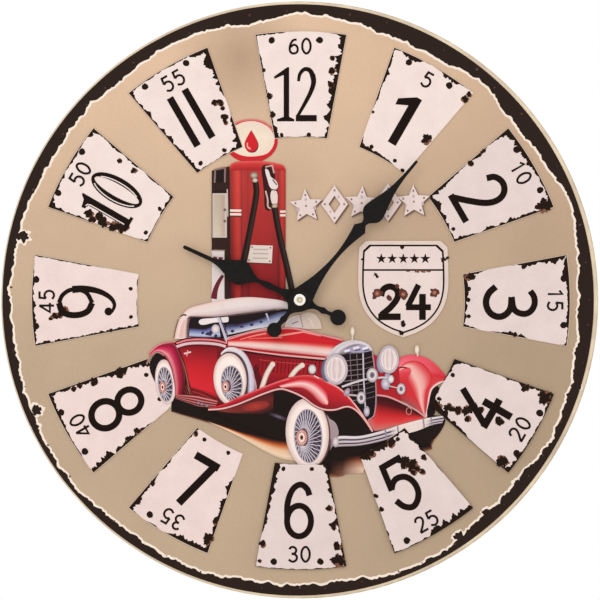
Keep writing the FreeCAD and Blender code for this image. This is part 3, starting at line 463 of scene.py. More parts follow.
def printed_ground():
    """The tan ground of the face, with painted light making it lighter and warmer at the top and painted
    shade making it darker to the right, and clouded.
    """
    finish = Finish("printed ground", 0.55, specular=0.15)
    where = finish.node("SeparateXYZ", Vector=finish.place())
    # painted light and shade: the ground is lighter towards the top and darker towards the right
    rise = finish.span(where.outputs["Z"], 0.0, 1.0, -0.03, 0.13)
    low = finish.mix(colour(193, 168, 140), colour(224, 190, 159), rise)
    side = finish.span(where.outputs["X"], 0.0, 1.0, 0.0, 0.13)
    base = finish.times(low, finish.ramp(side, (0, WHITE), (1, (0.84, 0.83, 0.82, 1))))
    for x, z, reach, share in GROUND_CLOUDS:
        base = finish.times(base, colour(196, 192, 190), finish.near((x, -FACE_DEPTH, z), reach, share))
    base = finish.clouded(base, 28, (0.93, 0.93, 0.94), detail=2)
    finish.tint(finish.clouded(base, 700, (0.96, 0.95, 0.95), detail=2))
    finish.roughened(300, 0.48, 0.62)
    finish.relief(2500, 0.00001, 0.3)
    return finish.material


PRINT_THICKNESS = 0.2        # mm
WORN_EDGE = 1.6              # mm back from the board's front


def board_fibre():
    """Pressed fibre board: brown with fine fibres, and a paler worn edge at the front."""
    finish = Finish("pressed fibre board", 0.8, specular=0.25)
    fibre = finish.ramp(
        finish.grain(520, (1, 1, 0.35), detail=5), (0.25, (128, 92, 62)), (0.5, (160, 124, 90)),
        (0.8, (186, 152, 116)))
    fibre = finish.clouded(fibre, 22, (0.86, 0.85, 0.85))
    depth = finish.node("SeparateXYZ", Vector=finish.place()).outputs["Y"]
    front = -(FACE_DEPTH - PRINT_THICKNESS) * MM
    worn = finish.span(depth, 1.0, 0.0, front, front + WORN_EDGE * MM)
    pale = finish.ramp(finish.grain(60), (0.3, (202, 181, 156)), (0.7, (232, 214, 184)))
    finish.tint(finish.mix(fibre, pale, worn))
    finish.roughened(400, 0.7, 0.92)
    finish.relief(900, 0.0001, 0.5, detail=4)
    return finish.material


def plastic(name, base, roughness=0.42, texture=900, relief=0.00003):
    """Moulded plastic with a fine spark-eroded texture."""
    finish = Finish(name, roughness, specular=0.45)
    dark = mixed(base, (0, 0, 0, 1), 0.18)
    light = mixed(base, WHITE, 0.04)
    finish.tint(finish.ramp(finish.grain(70), (0.3, dark), (0.5, base), (0.75, light)))
    finish.roughened(texture, roughness - 0.08, roughness + 0.12)
    finish.relief(texture, relief, 0.5)
    return finish.material


def metal(name, base, roughness=0.3, stretch=(1, 1, 1), scale=600):
    """Metal with a drawn or rolled grain, slightly stained."""
    finish = Finish(name, roughness, metallic=1.0)
    stain = mixed(base, (90, 80, 70), 0.25)
    finish.tint(finish.ramp(finish.grain(120), (0.3, stain), (0.55, base)))
    finish.roughened(scale, roughness - 0.08, roughness + 0.15, stretch)
    finish.relief(scale, 0.00001, 0.4, 2, stretch)
    return finish.material


def hand_paint():
    """Satin black paint with faint dust and a soft orange-peel."""
    finish = Finish("hand black paint", 0.5, specular=0.12)
    finish.tint(finish.ramp(finish.grain(240), (0.3, (15, 12, 11)), (0.75, (25, 21, 20))))
    finish.roughened(500, 0.42, 0.6)
    finish.relief(700, 0.00002, 0.3)
    return finish.material


def copper_winding():
    """Fine lacquered wire laid turn by turn along the bobbin."""
    finish = Finish("copper winding", 0.32, metallic=0.85)
    turns = finish.node("TexWave", Vector=finish.place(), Scale=1600.0, Distortion=0.4, bands_direction="X")
    finish.tint(finish.ramp(turns.outputs["Fac"], (0.1, (98, 42, 22)), (0.6, (196, 104, 58))))
    finish.bump(turns.outputs["Fac"], 0.00008, 0.8)
    return finish.material


def circuit_green():
    """Lacquered circuit board with faint copper runs under it."""
    finish = Finish("circuit board", 0.3, specular=0.5)
    runs = finish.node("TexVoronoi", Vector=finish.place(), Scale=420.0, feature="DISTANCE_TO_EDGE")
    finish.tint(finish.ramp(runs.outputs["Distance"], (0.03, (70, 140, 84)), (0.09, (24, 84, 50))))
    finish.roughened(300, 0.24, 0.42)
    return finish.material


def battery_print():
    """Plain two-tone cell sleeve: black with a coppery band at the positive end."""
    finish = Finish("battery sleeve", 0.3, metallic=0.3, specular=0.5)
    low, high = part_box("battery_sleeve")
    x = finish.node("SeparateXYZ", Vector=finish.place()).outputs["X"]
    share = finish.span(x, 0.0, 1.0, low.x, high.x)
    bands = finish.ramp(share, (0.0, (28, 28, 32)), (0.69, (32, 32, 36)), (0.7, (196, 120, 60)))
    finish.tint(finish.clouded(bands, 160, (0.8, 0.8, 0.8), high=0.6))
    finish.roughened(500, 0.22, 0.42)
    return finish.material


def dress_cad_nodes():
    """Gives each CAD node its own finish."""
    steel = metal("rolled steel", (176, 176, 172), 0.34, (1, 1, 0.15))
    nickel = metal("nickel plate", (222, 212, 196), 0.22, (1, 1, 1), 900)
    brass = metal("brass", (214, 178, 104), 0.28, (1, 1, 1), 800)
    contact = metal("spring steel", (200, 200, 198), 0.26, (0.2, 1, 1))
    black = plastic("case plastic", (30, 30, 31), 0.46)
    white = plastic("white acetal", (232, 230, 222), 0.4)
    amber = plastic("gear plastic", (236, 226, 196), 0.35)
    tip = plastic("pipe plastic", (206, 188, 158), 0.35)
    red = plastic("knob plastic", (176, 34, 34), 0.36)
    rubber = plastic("washer rubber", (26, 25, 25), 0.75, 500, 0.00005)
    resin = plastic("chip resin", (22, 22, 24), 0.5)
    finishes = {
        "dial_board": board_fibre(), "dial_print": printed_ground(), "hanger_plate": steel,
        "rubber_washer": rubber, "brass_washer": brass, "dial_nut": brass, "front_case": black,
        "rear_cover": black, "threaded_bushing": brass, "gear_plate": white, "stator_plate": steel,
        "coil_core": steel, "coil_bobbin": white, "coil_winding": copper_winding(),
        "circuit_board": circuit_green(), "quartz_crystal": nickel, "timing_chip": resin,
        "rotor_pinion": amber, "rotor_magnet": metal("sintered magnet", (88, 88, 92), 0.5),
        "fifth_wheel": amber, "seconds_wheel": amber, "third_wheel": amber, "centre_wheel": amber,
        "clutch_spring": contact, "minute_pipe": tip, "minute_wheel": amber, "hour_wheel": white,
        "setting_knob": red, "setting_pinion": amber, "battery_can": nickel,
        "battery_sleeve": battery_print(), "battery_contact_positive": contact,
        "battery_contact_negative": contact, "hour_hand_collet": brass, "minute_hand_bush": brass,
        "hand_nut": metal("bright nickel", (252, 248, 240), 0.2, (1, 1, 1), 900)}
    paint = hand_paint()
    finishes["hour_hand"] = finishes["minute_hand"] = paint
    for name, material in finishes.items():
        for place in range(max(1, len(NODES[name].material_slots))):
            if not NODES[name].material_slots:
                NODES[name].data.materials.append(material)
            NODES[name].material_slots[place].material = material


# ---------------------------------------------------------------- numerals, drawn in a cell one unit high

DIGIT_RUNS = {
    0: [smooth(
        [(0.3, 1), (0.08, 0.8), (0.02, 0.5), (0.08, 0.2), (0.3, 0), (0.52, 0.2), (0.58, 0.5), (0.52, 0.8)],
        closed=True)],
    1: [[(0.12, 0.78), (0.36, 0.98), (0.36, 0.0)]],
    2: [
        smooth([
            (0.04, 0.76), (0.12, 0.94), (0.3, 1.0), (0.5, 0.92), (0.56, 0.72), (0.44, 0.46), (0.2, 0.2),
            (0.02, 0.02)]),
        [(0.0, 0.0), (0.6, 0.0)]],
    3: [
        smooth([(0.06, 0.84), (0.2, 0.98), (0.42, 0.96), (0.53, 0.78), (0.44, 0.58), (0.22, 0.53)]),
        smooth([(0.22, 0.53), (0.46, 0.48), (0.58, 0.28), (0.48, 0.07), (0.26, 0.0), (0.02, 0.14)])],
    4: [[(0.62, 0.28), (0.0, 0.28), (0.44, 1.0)], [(0.44, 1.0), (0.44, 0.0)]],
    5: [
        [(0.54, 0.98), (0.12, 0.98), (0.07, 0.55)],
        smooth([
            (0.07, 0.55), (0.28, 0.64), (0.5, 0.54), (0.58, 0.32), (0.48, 0.08), (0.26, 0.0),
            (0.02, 0.12)])],
    6: [smooth([
        (0.5, 0.94), (0.28, 0.9), (0.1, 0.66), (0.03, 0.32), (0.1, 0.08), (0.3, 0.0), (0.52, 0.1),
        (0.57, 0.32), (0.48, 0.52), (0.28, 0.58), (0.07, 0.42)])],
    7: [[(0.0, 0.98), (0.6, 0.98), (0.24, 0.0)]],
    8: [
        smooth(
            [(0.3, 0.54), (0.08, 0.68), (0.1, 0.92), (0.3, 1.0), (0.5, 0.92), (0.52, 0.68)], closed=True),
        smooth(
            [(0.3, 0.54), (0.03, 0.36), (0.05, 0.1), (0.3, 0.0), (0.55, 0.1), (0.57, 0.36)], closed=True)],
    9: [smooth([
        (0.08, 0.08), (0.3, 0.1), (0.5, 0.36), (0.57, 0.7), (0.5, 0.92), (0.3, 1.0), (0.08, 0.9),
        (0.03, 0.68), (0.12, 0.48), (0.32, 0.42), (0.53, 0.58)])]}
DIGIT_CLOSED = (0, 8)
DIGIT_ADVANCE = 0.86
DIGIT_WIDTH = 0.6


def write_number(sheet, number, centre, height, weight, ink, turned=False):
    """A plain small number in round-ended strokes, centred on a point."""
    digits = [int(character) for character in str(number)]
    width = (len(digits) - 1) * DIGIT_ADVANCE + DIGIT_WIDTH
    sign = -1 if turned else 1
    for i, digit in enumerate(digits):
        for run in DIGIT_RUNS[digit]:
            left = i * DIGIT_ADVANCE - width / 2
            path = [
                (centre[0] + sign * (x + left) * height, centre[1] + sign * (z - 0.5) * height) for x,
                z in run]
            sheet.line(path, weight, ink, closed=digit in DIGIT_CLOSED)


# Each large numeral: strokes of (path, width), filled outlines and closed rings of (path, width), in mm about
# the plaque's middle, upright.

def one_sans():
    return [], [[(-2.5, -18), (2.7, -18), (2.7, 12), (-0.6, 12), (-9.6, 6.2), (-9.3, 2.4), (-2.5, 5.6)]], []


def two_sans():
    hook = smooth([
        (-7.4, 5.2), (-5.6, 9.6), (-0.6, 11.8), (4.4, 9.8), (6.5, 4.8), (4.8, -1.8), (-1, -9.6),
        (-7.6, -17)])
    return [(hook, 3.6), ([(-9.4, -17.3), (8.3, -17.3)], 3.7)], [], []


def three_sans():
    upper = smooth([(-5.4, 9.4), (-1.8, 11.6), (3, 11.6), (6.9, 8.6), (7.5, 4.2), (5, 0.2), (-2, -1.2)])
    lower = smooth([
        (-1.9, -1.2), (4.8, -2), (8.6, -5.6), (9.1, -10), (6.4, -14), (1.2, -15.8), (-4, -14.2),
        (-7.8, -10.2)])
    return [(upper, 3.5), (lower, 3.7)], [], []


def four_sans():
    return (
        [([(2.6, 16.4), (-9, -4.6)], 3.7), ([(-10.6, -4.9), (7.7, -4.9)], 4.1),
         ([(2.3, 2.6), (2.3, -15.6)], 4.2)], [], [])


def five_sans():
    bowl = smooth([
        (-9.2, 2.2), (-6.4, 5.2), (-2.8, 6.2), (1.8, 4), (4, -1.6), (2.6, -8), (-2.8, -12.2), (-7.4, -10),
        (-10.1, -4.6)])
    return [([(-9, 15.7), (4.6, 15.7)], 3.6), ([(-7.4, 16), (-9.3, 1.6)], 3.5), (bowl, 3.5)], [], []


def six_sans():
    back = smooth([(4.9, 10.2), (3.4, 14), (-0.4, 16.4), (-4.8, 13.4), (-7.6, 5.6), (-7.8, -3)])
    return [(back, 3.4)], [], [(ellipse((-1.1, -4.3), 6.8, 8.7), 3.4)]


def seven_sans():
    return [([(-8, 15), (7.4, 15)], 4.4), ([(5.2, 16.4), (-2.6, -13.6)], 4.4)], [], []


def eight_sans():
    return [], [], [(ellipse((0.8, 7.9), 6.5, 6.9), 3.6), (ellipse((0.7, -7.8), 7.6, 8), 3.7)]


def nine_serif():
    back = smooth([(6.2, 9), (6.6, 2), (5.2, -6), (1.6, -12.6), (-2.6, -15), (-6.8, -13.4)])
    left = smooth([(-1.4, 16.6), (-6.6, 14.4), (-8.4, 7.6), (-6.4, 0.6), (-1.4, -2.4)])
    right = smooth([(-1.4, 16.6), (3.2, 14.4), (6.2, 9), (4.6, 1.4), (-1.4, -2.4)])
    return [(back, (4.2, 1.5)), (left, 3.5), (right, 2.4)], [ellipse((-6.3, -11.6), 2.3, count=16)], []


def ten_inline():
    flag = [
        (-16.2, 11.6), (-16.4, 13.6), (-12, 14.6), (-10, 17), (-9, 17), (-9, -13.4), (-13.6, -13.4),
        (-13.6, 10.6)]
    base = box(-16.4, -15.2, -7.2, -13.4)
    left = ellipse((1.9, 1), 7.2, 16.2, start=90, end=270) + ellipse((1.9, 1), 3.5, 14.4, start=270, end=90)
    right = ellipse((1.9, 1), 7.2, 16.2, start=-90, end=90) + ellipse(
        (1.9, 1), 3.5, 14.4, start=90, end=-90)
    return [], [flag, base, left, right], []


def eleven_bars():
    return [], [box(-9, -15.6, -4.9, 16), box(0.7, -15.6, 4.8, 16)], []


def twelve_serif():
    one = [(-9.8, -16.6), (-6.7, -16.6), (-6.7, 11.6), (-7.8, 11.6), (-15.4, 6.2), (-15, 5), (-9.8, 7.2)]
    foot = [(-13.6, -19.2), (-3.8, -19.2), (-3.8, -18), (-6.7, -16.6), (-9.8, -16.6), (-13.6, -18)]
    hook = smooth([(-1.4, 3.6), (-0.6, 7.6), (2, 10.4), (5, 9.8), (7, 6.2)])
    back = smooth([(6.6, 7.4), (7.2, 3), (5.6, -2.4), (2, -9.4), (-2, -16.4)])
    return [(hook, (1.6, 2.9)), (back, (3.2, 1.7))], [one, foot, box(-2.9, -19.2, 9, -15.6)], []


# ---------------------------------------------------------------- the twelve plaques

PLAQUE_CENTRE = (0.7, -0.3)
PLAQUE_RADIUS = 121.0       # from the ring's centre to a plaque's middle
OUTER_HALF, INNER_HALF = 25.8, 14.8
OUTER_REACH, INNER_REACH = 30.0, 28.8
BOW = 1.9                   # how far the curved ends stand out
UPRIGHT_OUTWARD = (9, 10, 11, 12, 1, 2, 3)
OVER_CAR = (4, 5, 6)        # these lie over the car and have no pale border
PAINTED_LIT_PLAQUES = (10, 11, 12, 1)    # plaques whose white has painted light, lighter at the top of the dial
PAINTED_SHADE_PLAQUES = (2, 3, 4, 5, 6)    # plaques whose white has painted shade, greyer at the right of the dial
TURNED_MINUTES = (7, 8)     # their small numbers are upside down
BORDER = 0.35
BORDER_INK = (216, 193, 172)
RIVET_SIZE = 1.9
PIN_SIZE = 1.2
MINUTE_HEIGHT = 8.4
MINUTE_WEIGHT = 1.25
MINUTE_PLACES = {True: (-0.5, 23.6), False: (-1, -23.2)}       # upright outward, or inward
TEN_INLAYS = (
    ellipse((1.9, 1), 6.1, 14.8, start=118, end=242), ellipse((1.9, 1), 4.5, 13.6, start=-60, end=60),
    [(-14.6, 11.9), (-13.4, 11.4), (-12.8, 9.6), (-12.8, -12.4)])
INLAY_WIDTH = 0.6

# For each plaque: the numeral, the dark worn width in mm along each side (bottom, right, top, left, each from
# its start anticlockwise), the larger worn blots as (x, up, size), the rivets' places and the smaller pins'.
PLAQUES = {
    1: dict(
        numeral=one_sans, bottom=[2.4, 1.8, 1.2, 1, 0, 0], right=[0, 0, 0, 0, 0, 0],
        top=[0, 0.3, 1, 2.8, 2.2, 0.3, 0.2, 0.3, 2.6, 2.6, 0.3, 1],
        left=[1, 1.4, 1.6, 0.8, 1, 0.2, 0, 0, 1.8],
        blots=[(16, -6, 2.8), (25, 25, 2), (24, 29, 1.6), (-19.5, -7.6, 0.9)],
        rivets=[(-14.5, 27), (12, 27)], pins=[(-9, -25.4), (6.5, -25.6), (13, -28)]),
    2: dict(
        numeral=two_sans, bottom=[1.6, 2.4, 2.2, 1.2, 0.6, 0.8],
        right=[1.4, 2, 0.4, 2, 1, 2.4, 1.2, 2.8, 4], top=[4, 1, 1.4, 2, 3, 2.4, 3.4],
        left=[4, 1.2, 0.2, 1.6, 0.2, 0.6, 1.6, 2, 2.2],
        blots=[(-20, 1.6, 1.7), (22.6, 25, 3.4), (-24, 12, 1), (-21.6, 10, 0.9)],
        rivets=[(-13, 28), (13.5, 28)], pins=[(8, -25.8)]),
    3: dict(
        numeral=three_sans, bottom=[2.2, 1.4, 1.6, 1.3, 1.4, 0.3],
        right=[1.6, 0.8, 0, 0.3, 0.9, 1.7, 1.6, 0, 0, 0, 0, 0.6],
        top=[1.2, 0.8, 1, 2, 1.4, 1.4, 2, 1.8, 2.6, 3.4, 2.6, 0.2],
        left=[1.8, 2.4, 2.2, 1.6, 1.8, 0.4, 0, 0, 0.3, 2, 2.2],
        blots=[(-19.3, 6, 1.4), (-14, -25, 2.4), (19.6, 1, 1.3)], rivets=[(-12.5, 28.4), (14, 28.4)],
        pins=[(-6.5, -25.4), (-0.5, -25.8), (9, -25.6)]),
    4: dict(
        numeral=four_sans, bottom=[2.4, 2, 1.6, 0.8, 1.2, 0.6, 0.8, 1.4, 3.4],
        right=[5, 4.8, 0.6, 2.4, 0.4, 1.4, 0.3, 0.9, 0.3, 0.9, 1, 2.6], top=[2.4, 1.4, 0.6, 0.3, 1.2, 2.6],
        left=[4, 2.6, 1.8, 0.4, 0, 0, 2.6],
        blots=[
            (-22.8, -23.6, 3.2), (20.6, -14.6, 2.2), (21.6, -26, 3.6), (-11, 17.6, 2.6), (-9.6, 12.6, 2.4),
            (-7, 8.4, 2.8), (-3.6, 6, 2.4), (-11, 5.6, 1.8), (-3, 1.6, 1.8), (-3, -10.6, 2.2),
            (-13.5, 24, 2.4)],
        rivets=[(-14, -28.4), (12.5, -28.4)], pins=[(-9, 25), (6.5, 25.2)]),
    5: dict(
        numeral=five_sans, bottom=[1.2, 0.2, 0.6, 0.4, 1.4, 2.8, 2.6, 4, 3.4, 1.6],
        right=[0.4, 0, 0, 0, 0.4, 0, 1.2, 1.8, 1.6], top=[1, 1.4, 1, 2.4, 3, 4.2, 4, 3],
        left=[0, 0, 0, 0, 0.4, 0.3, 1.2, 0.6],
        blots=[
            (4.6, 12.4, 3.4), (7.6, 8.4, 3.6), (6.4, 4.6, 1.8), (11, 2.6, 1.7), (9.4, 5, 1.5),
            (-22, 3.4, 1.2), (-23.2, -4.6, 1.5), (15.6, 9, 1.6), (3.4, 25.6, 2.6), (-9, 27, 2.4)],
        rivets=[(-16, -27.2)], pins=[(-11.5, 25), (8, 25.2)]),
    6: dict(
        numeral=six_sans, bottom=[0.3, 0.4, 0.6, 0.4, 0.6, 0.5, 0.6],
        right=[2.6, 1.4, 0.4, 1.6, 0.4, 1.6, 2, 2.4], top=[1.4, 0.2, 0.2, 0.3, 0.5],
        left=[2.4, 2.4, 2, 1.8, 1.6, 0, 0, 0.4],
        blots=[
            (-24.6, -17, 2), (16, 3, 1.7), (18.2, -7, 2), (20.6, -18.6, 2), (21, -26, 3.6),
            (-23.4, -27, 1)],
        rivets=[(-15.5, -27.4), (11, -27.4)], pins=[(-10, 25.4), (6, 25.2)]),
    7: dict(
        numeral=seven_sans, bottom=[0.8, 0.4, 0, 0.8, 0, 1.2, 2.6, 2.2, 3, 3.2],
        right=[2.6, 2.2, 1.6, 1.6, 2, 2.4, 2.8, 0, 0, 0], top=[0, 0, 0, 0, 0.4],
        left=[1, 0.6, 0.8, 0.3, 1.2, 0.6, 2.2, 1.4, 2.2, 2.8],
        blots=[(-14, 25.6, 1.4), (20.8, -12.4, 1.6), (22, -22.6, 3), (-22, -11, 1.4)],
        rivets=[(-13.5, -27.4)], pins=[(-8, 25), (7.5, 25.4)]),
    8: dict(
        numeral=eight_sans, bottom=[1.4, 2.2, 1.6, 1.2, 0.6, 0.8, 0.2, 0.2],
        right=[4, 4, 3.4, 2, 1.6, 2.4, 0.8, 0, 0, 0.5], top=[0.2, 0.9, 0.1, 0.2, 1.4],
        left=[3.4, 3, 2.4, 3.2, 1.8, 0.6, 3, 0.6, 1.8, 1, 1.6],
        blots=[
            (-19, -4, 2.2), (-22.4, -12, 1.7), (17.8, 3.4, 2), (-16.2, 12, 2.6), (19, -3, 1.6),
            (-21, -15.6, 1.4)],
        rivets=[(-13, -28.8), (13, -28.4)], pins=[(-7.5, 23.6), (8.5, 23.6)]),
    9: dict(
        numeral=nine_serif, bottom=[0.6, 0.3, 0.6, 0.1, 0.6, 0.2], right=[0, 0, 0.2, 0.7, 0.7, 0.7, 0.6],
        top=[0, 0.5, 1.4, 1.4, 1.8, 2, 0.3], left=[1.2, 1.6, 1, 0.8, 1, 1.4, 1.4, 1.8],
        blots=[(-8.8, 19.4, 1.9), (-10.4, 21.4, 1.3), (-9, 16.6, 1.8), (-6, 14.2, 2.4), (-17.6, -13, 1)],
        rivets=[(-14.5, 29.6), (12, 29.6)], pins=[(-9.5, -24.2), (6.5, -24.2)]),
    10: dict(
        numeral=ten_inline, bottom=[1.6, 0.4, 0.4, 1.2, 1.4, 1.8],
        right=[1.2, 0.4, 1, 0.2, 1.4, 0.4, 2, 0.4, 2.4], top=[3, 0.4, 1.2, 1, 1.2, 0.8, 3],
        left=[3.2, 1, 1.4, 0.2, 1, 0, 0, 1.2],
        blots=[
            (-17.6, 8.4, 2.4), (-20.4, 4.6, 2), (-16.2, 2.4, 2.2), (-20.6, -1.8, 2.6), (-19.2, -8, 2.6),
            (-16.4, -11.4, 2.8), (-14, -13.6, 2), (16.4, -1.6, 1.6), (17, 8, 1.4)],
        rivets=[(-16, 29), (11, 29)], pins=[(-10.5, -25.4), (5, -25.6)]),
    11: dict(
        numeral=eleven_bars, bottom=[0.8, 0.4, 0.5, 1.2, 2.4],
        right=[2.6, 2.8, 1.6, 0, 0.2, 2, 3, 3.2, 3.4], top=[3.2, 1.6, 1.2, 0.8, 0.8, 0.4, 1.4],
        left=[2, 1, 1.8, 1, 1.8, 1.4, 1.8, 2.4],
        blots=[(13.4, 1, 1.5), (16.2, -0.4, 2), (16, -4, 1.3), (14.4, -9, 1.9), (13.2, -11.6, 1.4)],
        rivets=[(-16, 28.4), (11, 28.4)], pins=[(-10.5, -24.8), (5, -25.2)]),
    12: dict(
        numeral=twelve_serif, bottom=[0.8, 0.5, 0.1, 0.5, 0.3, 1],
        right=[0.8, 2, 2.4, 2.4, 3, 2.6, 3.4, 3, 2.8], top=[1.4, 0.2, 0.1, 0.2, 0.9, 1],
        left=[0.6, 0.4, 1, 0.4, 1, 0.4, 1.2, 2.4],
        blots=[
            (-20.6, -4.6, 1.6), (-17.6, -15, 1.6), (-24, 10, 1), (17.4, 9.6, 2), (16.6, 1.8, 1.8),
            (17.6, 17, 1.6)],
        rivets=[(-16.5, 27), (10.5, 27)], pins=[(-11, -27), (4.5, -26.8)])}


def plaque_place(hour):
    """The function from a plaque's own upright place to the place on the dial."""
    angle = math.radians(90 - 30 * hour)
    outward = (math.cos(angle), math.sin(angle))
    up = outward if hour in UPRIGHT_OUTWARD else (-outward[0], -outward[1])
    right = (up[1], -up[0])
    middle = (PLAQUE_CENTRE[0] + outward[0] * PLAQUE_RADIUS, PLAQUE_CENTRE[1] + outward[1] * PLAQUE_RADIUS)

    def place(point):
        return tuple(middle[n] + right[n] * point[0] + up[n] * point[1] for n in (0, 1))
    return place


EDGE_KEPT = 0.15                       # mm: wear narrower than this leaves the white face whole


def plaque_side(start, end, bow, widths, cuts, seed, step=0.55):
    """Points along one side, set in by the worn width there. bow stands the middle out to the side's right,
    and cuts are the lengths left off at the side's two ends."""
    length = gap(start, end)
    count = int(length / step)
    x, z = (end[0] - start[0]) / length, (end[1] - start[1]) / length
    points = []
    for i in range(count):
        t = (cuts[0] + (length - cuts[0] - cuts[1]) * i / count) / length
        spot = t * (len(widths) - 1)
        k = int(spot)
        wear = widths[k] + (widths[min(k + 1, len(widths) - 1)] - widths[k]) * (spot - k) - EDGE_KEPT
        place = along(start, end, t)
        tear = 1 + 1.1 * rough(place, seed, 0.33) + 0.6 * rough(place, seed + 3, 1.1)
        out = bow * 4 * t * (1 - t) - max(0.0, wear * tear)
        points.append((place[0] + z * out, place[1] - x * out))
    return points


def plaque_outline(hour, worn, grow=0.0):
    """The plaque's outline anticlockwise, or with worn True what is left of its white face."""
    spec = PLAQUES[hour]
    outward = hour in UPRIGHT_OUTWARD
    wide, narrow = OUTER_HALF + grow, INNER_HALF + grow
    high, low = (OUTER_REACH, -INNER_REACH) if outward else (INNER_REACH, -OUTER_REACH)
    top_half, low_half = (wide, narrow) if outward else (narrow, wide)
    high, low = high + grow, low - grow
    corners = [(-low_half, low), (low_half, low), (top_half, high), (-top_half, high)]
    bows = (-BOW / 2, 0, BOW, 0) if outward else (BOW, 0, -BOW / 2, 0)
    wear = [spec[side] if worn else [0] for side in ("bottom", "right", "top", "left")]
    outline = []
    for k in range(4):
        cuts = (wear[k - 1][-1], wear[(k + 1) % 4][0])
        outline += plaque_side(corners[k], corners[(k + 1) % 4], bows[k], wear[k], cuts, hour * 10 + k)
    return outline


def kept_on(hour, x, up, size):
    """The place x, up brought in so that a blot of the size stays on the plaque."""
    outward = hour in UPRIGHT_OUTWARD
    high, low = (OUTER_REACH, -INNER_REACH) if outward else (INNER_REACH, -OUTER_REACH)
    top_half, low_half = (OUTER_HALF, INNER_HALF) if outward else (INNER_HALF, OUTER_HALF)
    up = max(low + size, min(high - size, up))
    reach = low_half + (top_half - low_half) * (up - low) / (high - low) - size * 0.8
    return max(-reach, min(reach, x)), up


def draw_plaque(hour, material):
    """One worn enamel plaque: dark plate, chipped white face, rivets, blots, numeral and minute number."""
    spec = PLAQUES[hour]
    place = plaque_place(hour)
    plate = Print(f"plaque_{hour:02d}_plate", place)
    if hour not in OVER_CAR:
        plate.fill(plaque_outline(hour, False, BORDER), BORDER_INK)
    plate.over()
    plate.fill(plaque_outline(hour, False), CHIP_BROWN)
    plate.over()
    # painted light and shade: the plaque white is lighter at the top of the dial and greyer to the right
    white = PAPER_WHITE if hour in PAINTED_LIT_PLAQUES else SHADED_GREY_WHITE if hour in PAINTED_SHADE_PLAQUES else PINK_WHITE
    plate.fill(plaque_outline(hour, True), white)
    plate.build(material)
    marks = Print(f"plaque_{hour:02d}_wear", place)
    for x, up, size in spec["blots"]:
        x, up = kept_on(hour, x, up, size)
        fringe = ellipse((x + size * 0.15, up - size * 0.2), size * 0.9, size, count=24)
        marks.fill(chipped(fringe, size * 0.3, hour + up, 0.35), RUST)
        marks.fill(
            chipped(ellipse((x, up), size * 0.9, size, count=24), size * 0.45, hour + x, 0.35), CHIP_BROWN)
    for spot in spec["rivets"]:
        marks.fill(chipped(ellipse(spot, RIVET_SIZE, count=24), 0.25, hour, 0.5), CHIP_BROWN)
    for spot in spec["pins"]:
        marks.fill(chipped(ellipse(spot, PIN_SIZE, count=18), 0.3, hour, 0.4), CHIP_BROWN)
    marks.build(material)
    figure = Print(f"plaque_{hour:02d}_numeral", place)
    strokes, outlines, rings = spec["numeral"]()
    for path, width in strokes:
        figure.line(path, width, INK_BLACK)
    for outline in outlines:
        figure.fill(outline, INK_BLACK)
    for path, width in rings:
        figure.line(path, width, INK_BLACK, closed=True)
    if hour == 10:
        figure.over()
        for path in TEN_INLAYS:
            figure.line(path, INLAY_WIDTH, PAPER_WHITE)
    spot = MINUTE_PLACES[hour in UPRIGHT_OUTWARD]
    write_number(
        figure, hour * 5, spot, MINUTE_HEIGHT, MINUTE_WEIGHT, INK_BLACK, turned=hour in TURNED_MINUTES)
    figure.build(material)


# ---------------------------------------------------------------- ground, band and torn edge

# The band's inner edge: mm from the centre every 10 degrees from 3 o'clock, anticlockwise.
BAND_EDGE = [
    159, 161, 164, 159.5, 158, 162, 158, 158.5, 161, 163.5, 159.5, 162.5, 163, 161.5, 163, 162, 164, 164.5,
    165.5, 164, 165, 166.4, 166.6, 164, 164, 164.5, 162, 163, 162, 165, 165, 161, 161, 163.5, 162, 160]
# Larger torn places on it: x, z and size in mm.
BAND_NOTCHES = (
    (-157.6, 36, 3.6), (-149.6, -63, 3.4), (157, -49, 2.4), (-150, -72, 2), (60, 150, 2), (91, -134.5, 3.2),
    (107, -121, 3), (124, -104.5, 2.6))
NOTCH_TEAR = 0.35                      # how ragged a notch is, as a share of its size
NOTCH_HALO = 1.1                       # mm of pale tear line round a notch
TEAR_RADIUS = 160                      # mm: where the tear's random values are read
TEAR_SEED = 3
TEAR_INK = (248, 232, 216)
FLECKS = 45
FLECK_TURN = 137.5                     # degrees from one fleck to the next
FLECK_RADIUS = 164.6                   # mm
BAND_INK = (44, 31, 25)
BAND_SHIFT = -0.9                      # mm: the print sits a little to the left on the board
BAND_REACH = 168.2                     # mm


def torn_circle(shrink, tear, count=720):
    """The band's ragged inner edge, shrink mm further in."""
    points = []
    for i in range(count):
        angle = 2 * math.pi * i / count
        spot = i / count * len(BAND_EDGE)
        k = int(spot)
        t = spot - k
        reach = BAND_EDGE[k] + (BAND_EDGE[(k + 1) % len(BAND_EDGE)] - BAND_EDGE[k]) * (3 * t**2 - 2 * t**3)
        place = (math.cos(angle) * TEAR_RADIUS, math.sin(angle) * TEAR_RADIUS)
        reach += tear * (rough(place, TEAR_SEED, 0.16) * 1.5 + rough(place, TEAR_SEED + 2, 0.7)) - shrink
        points.append((math.cos(angle) * reach, math.sin(angle) * reach))
    return points


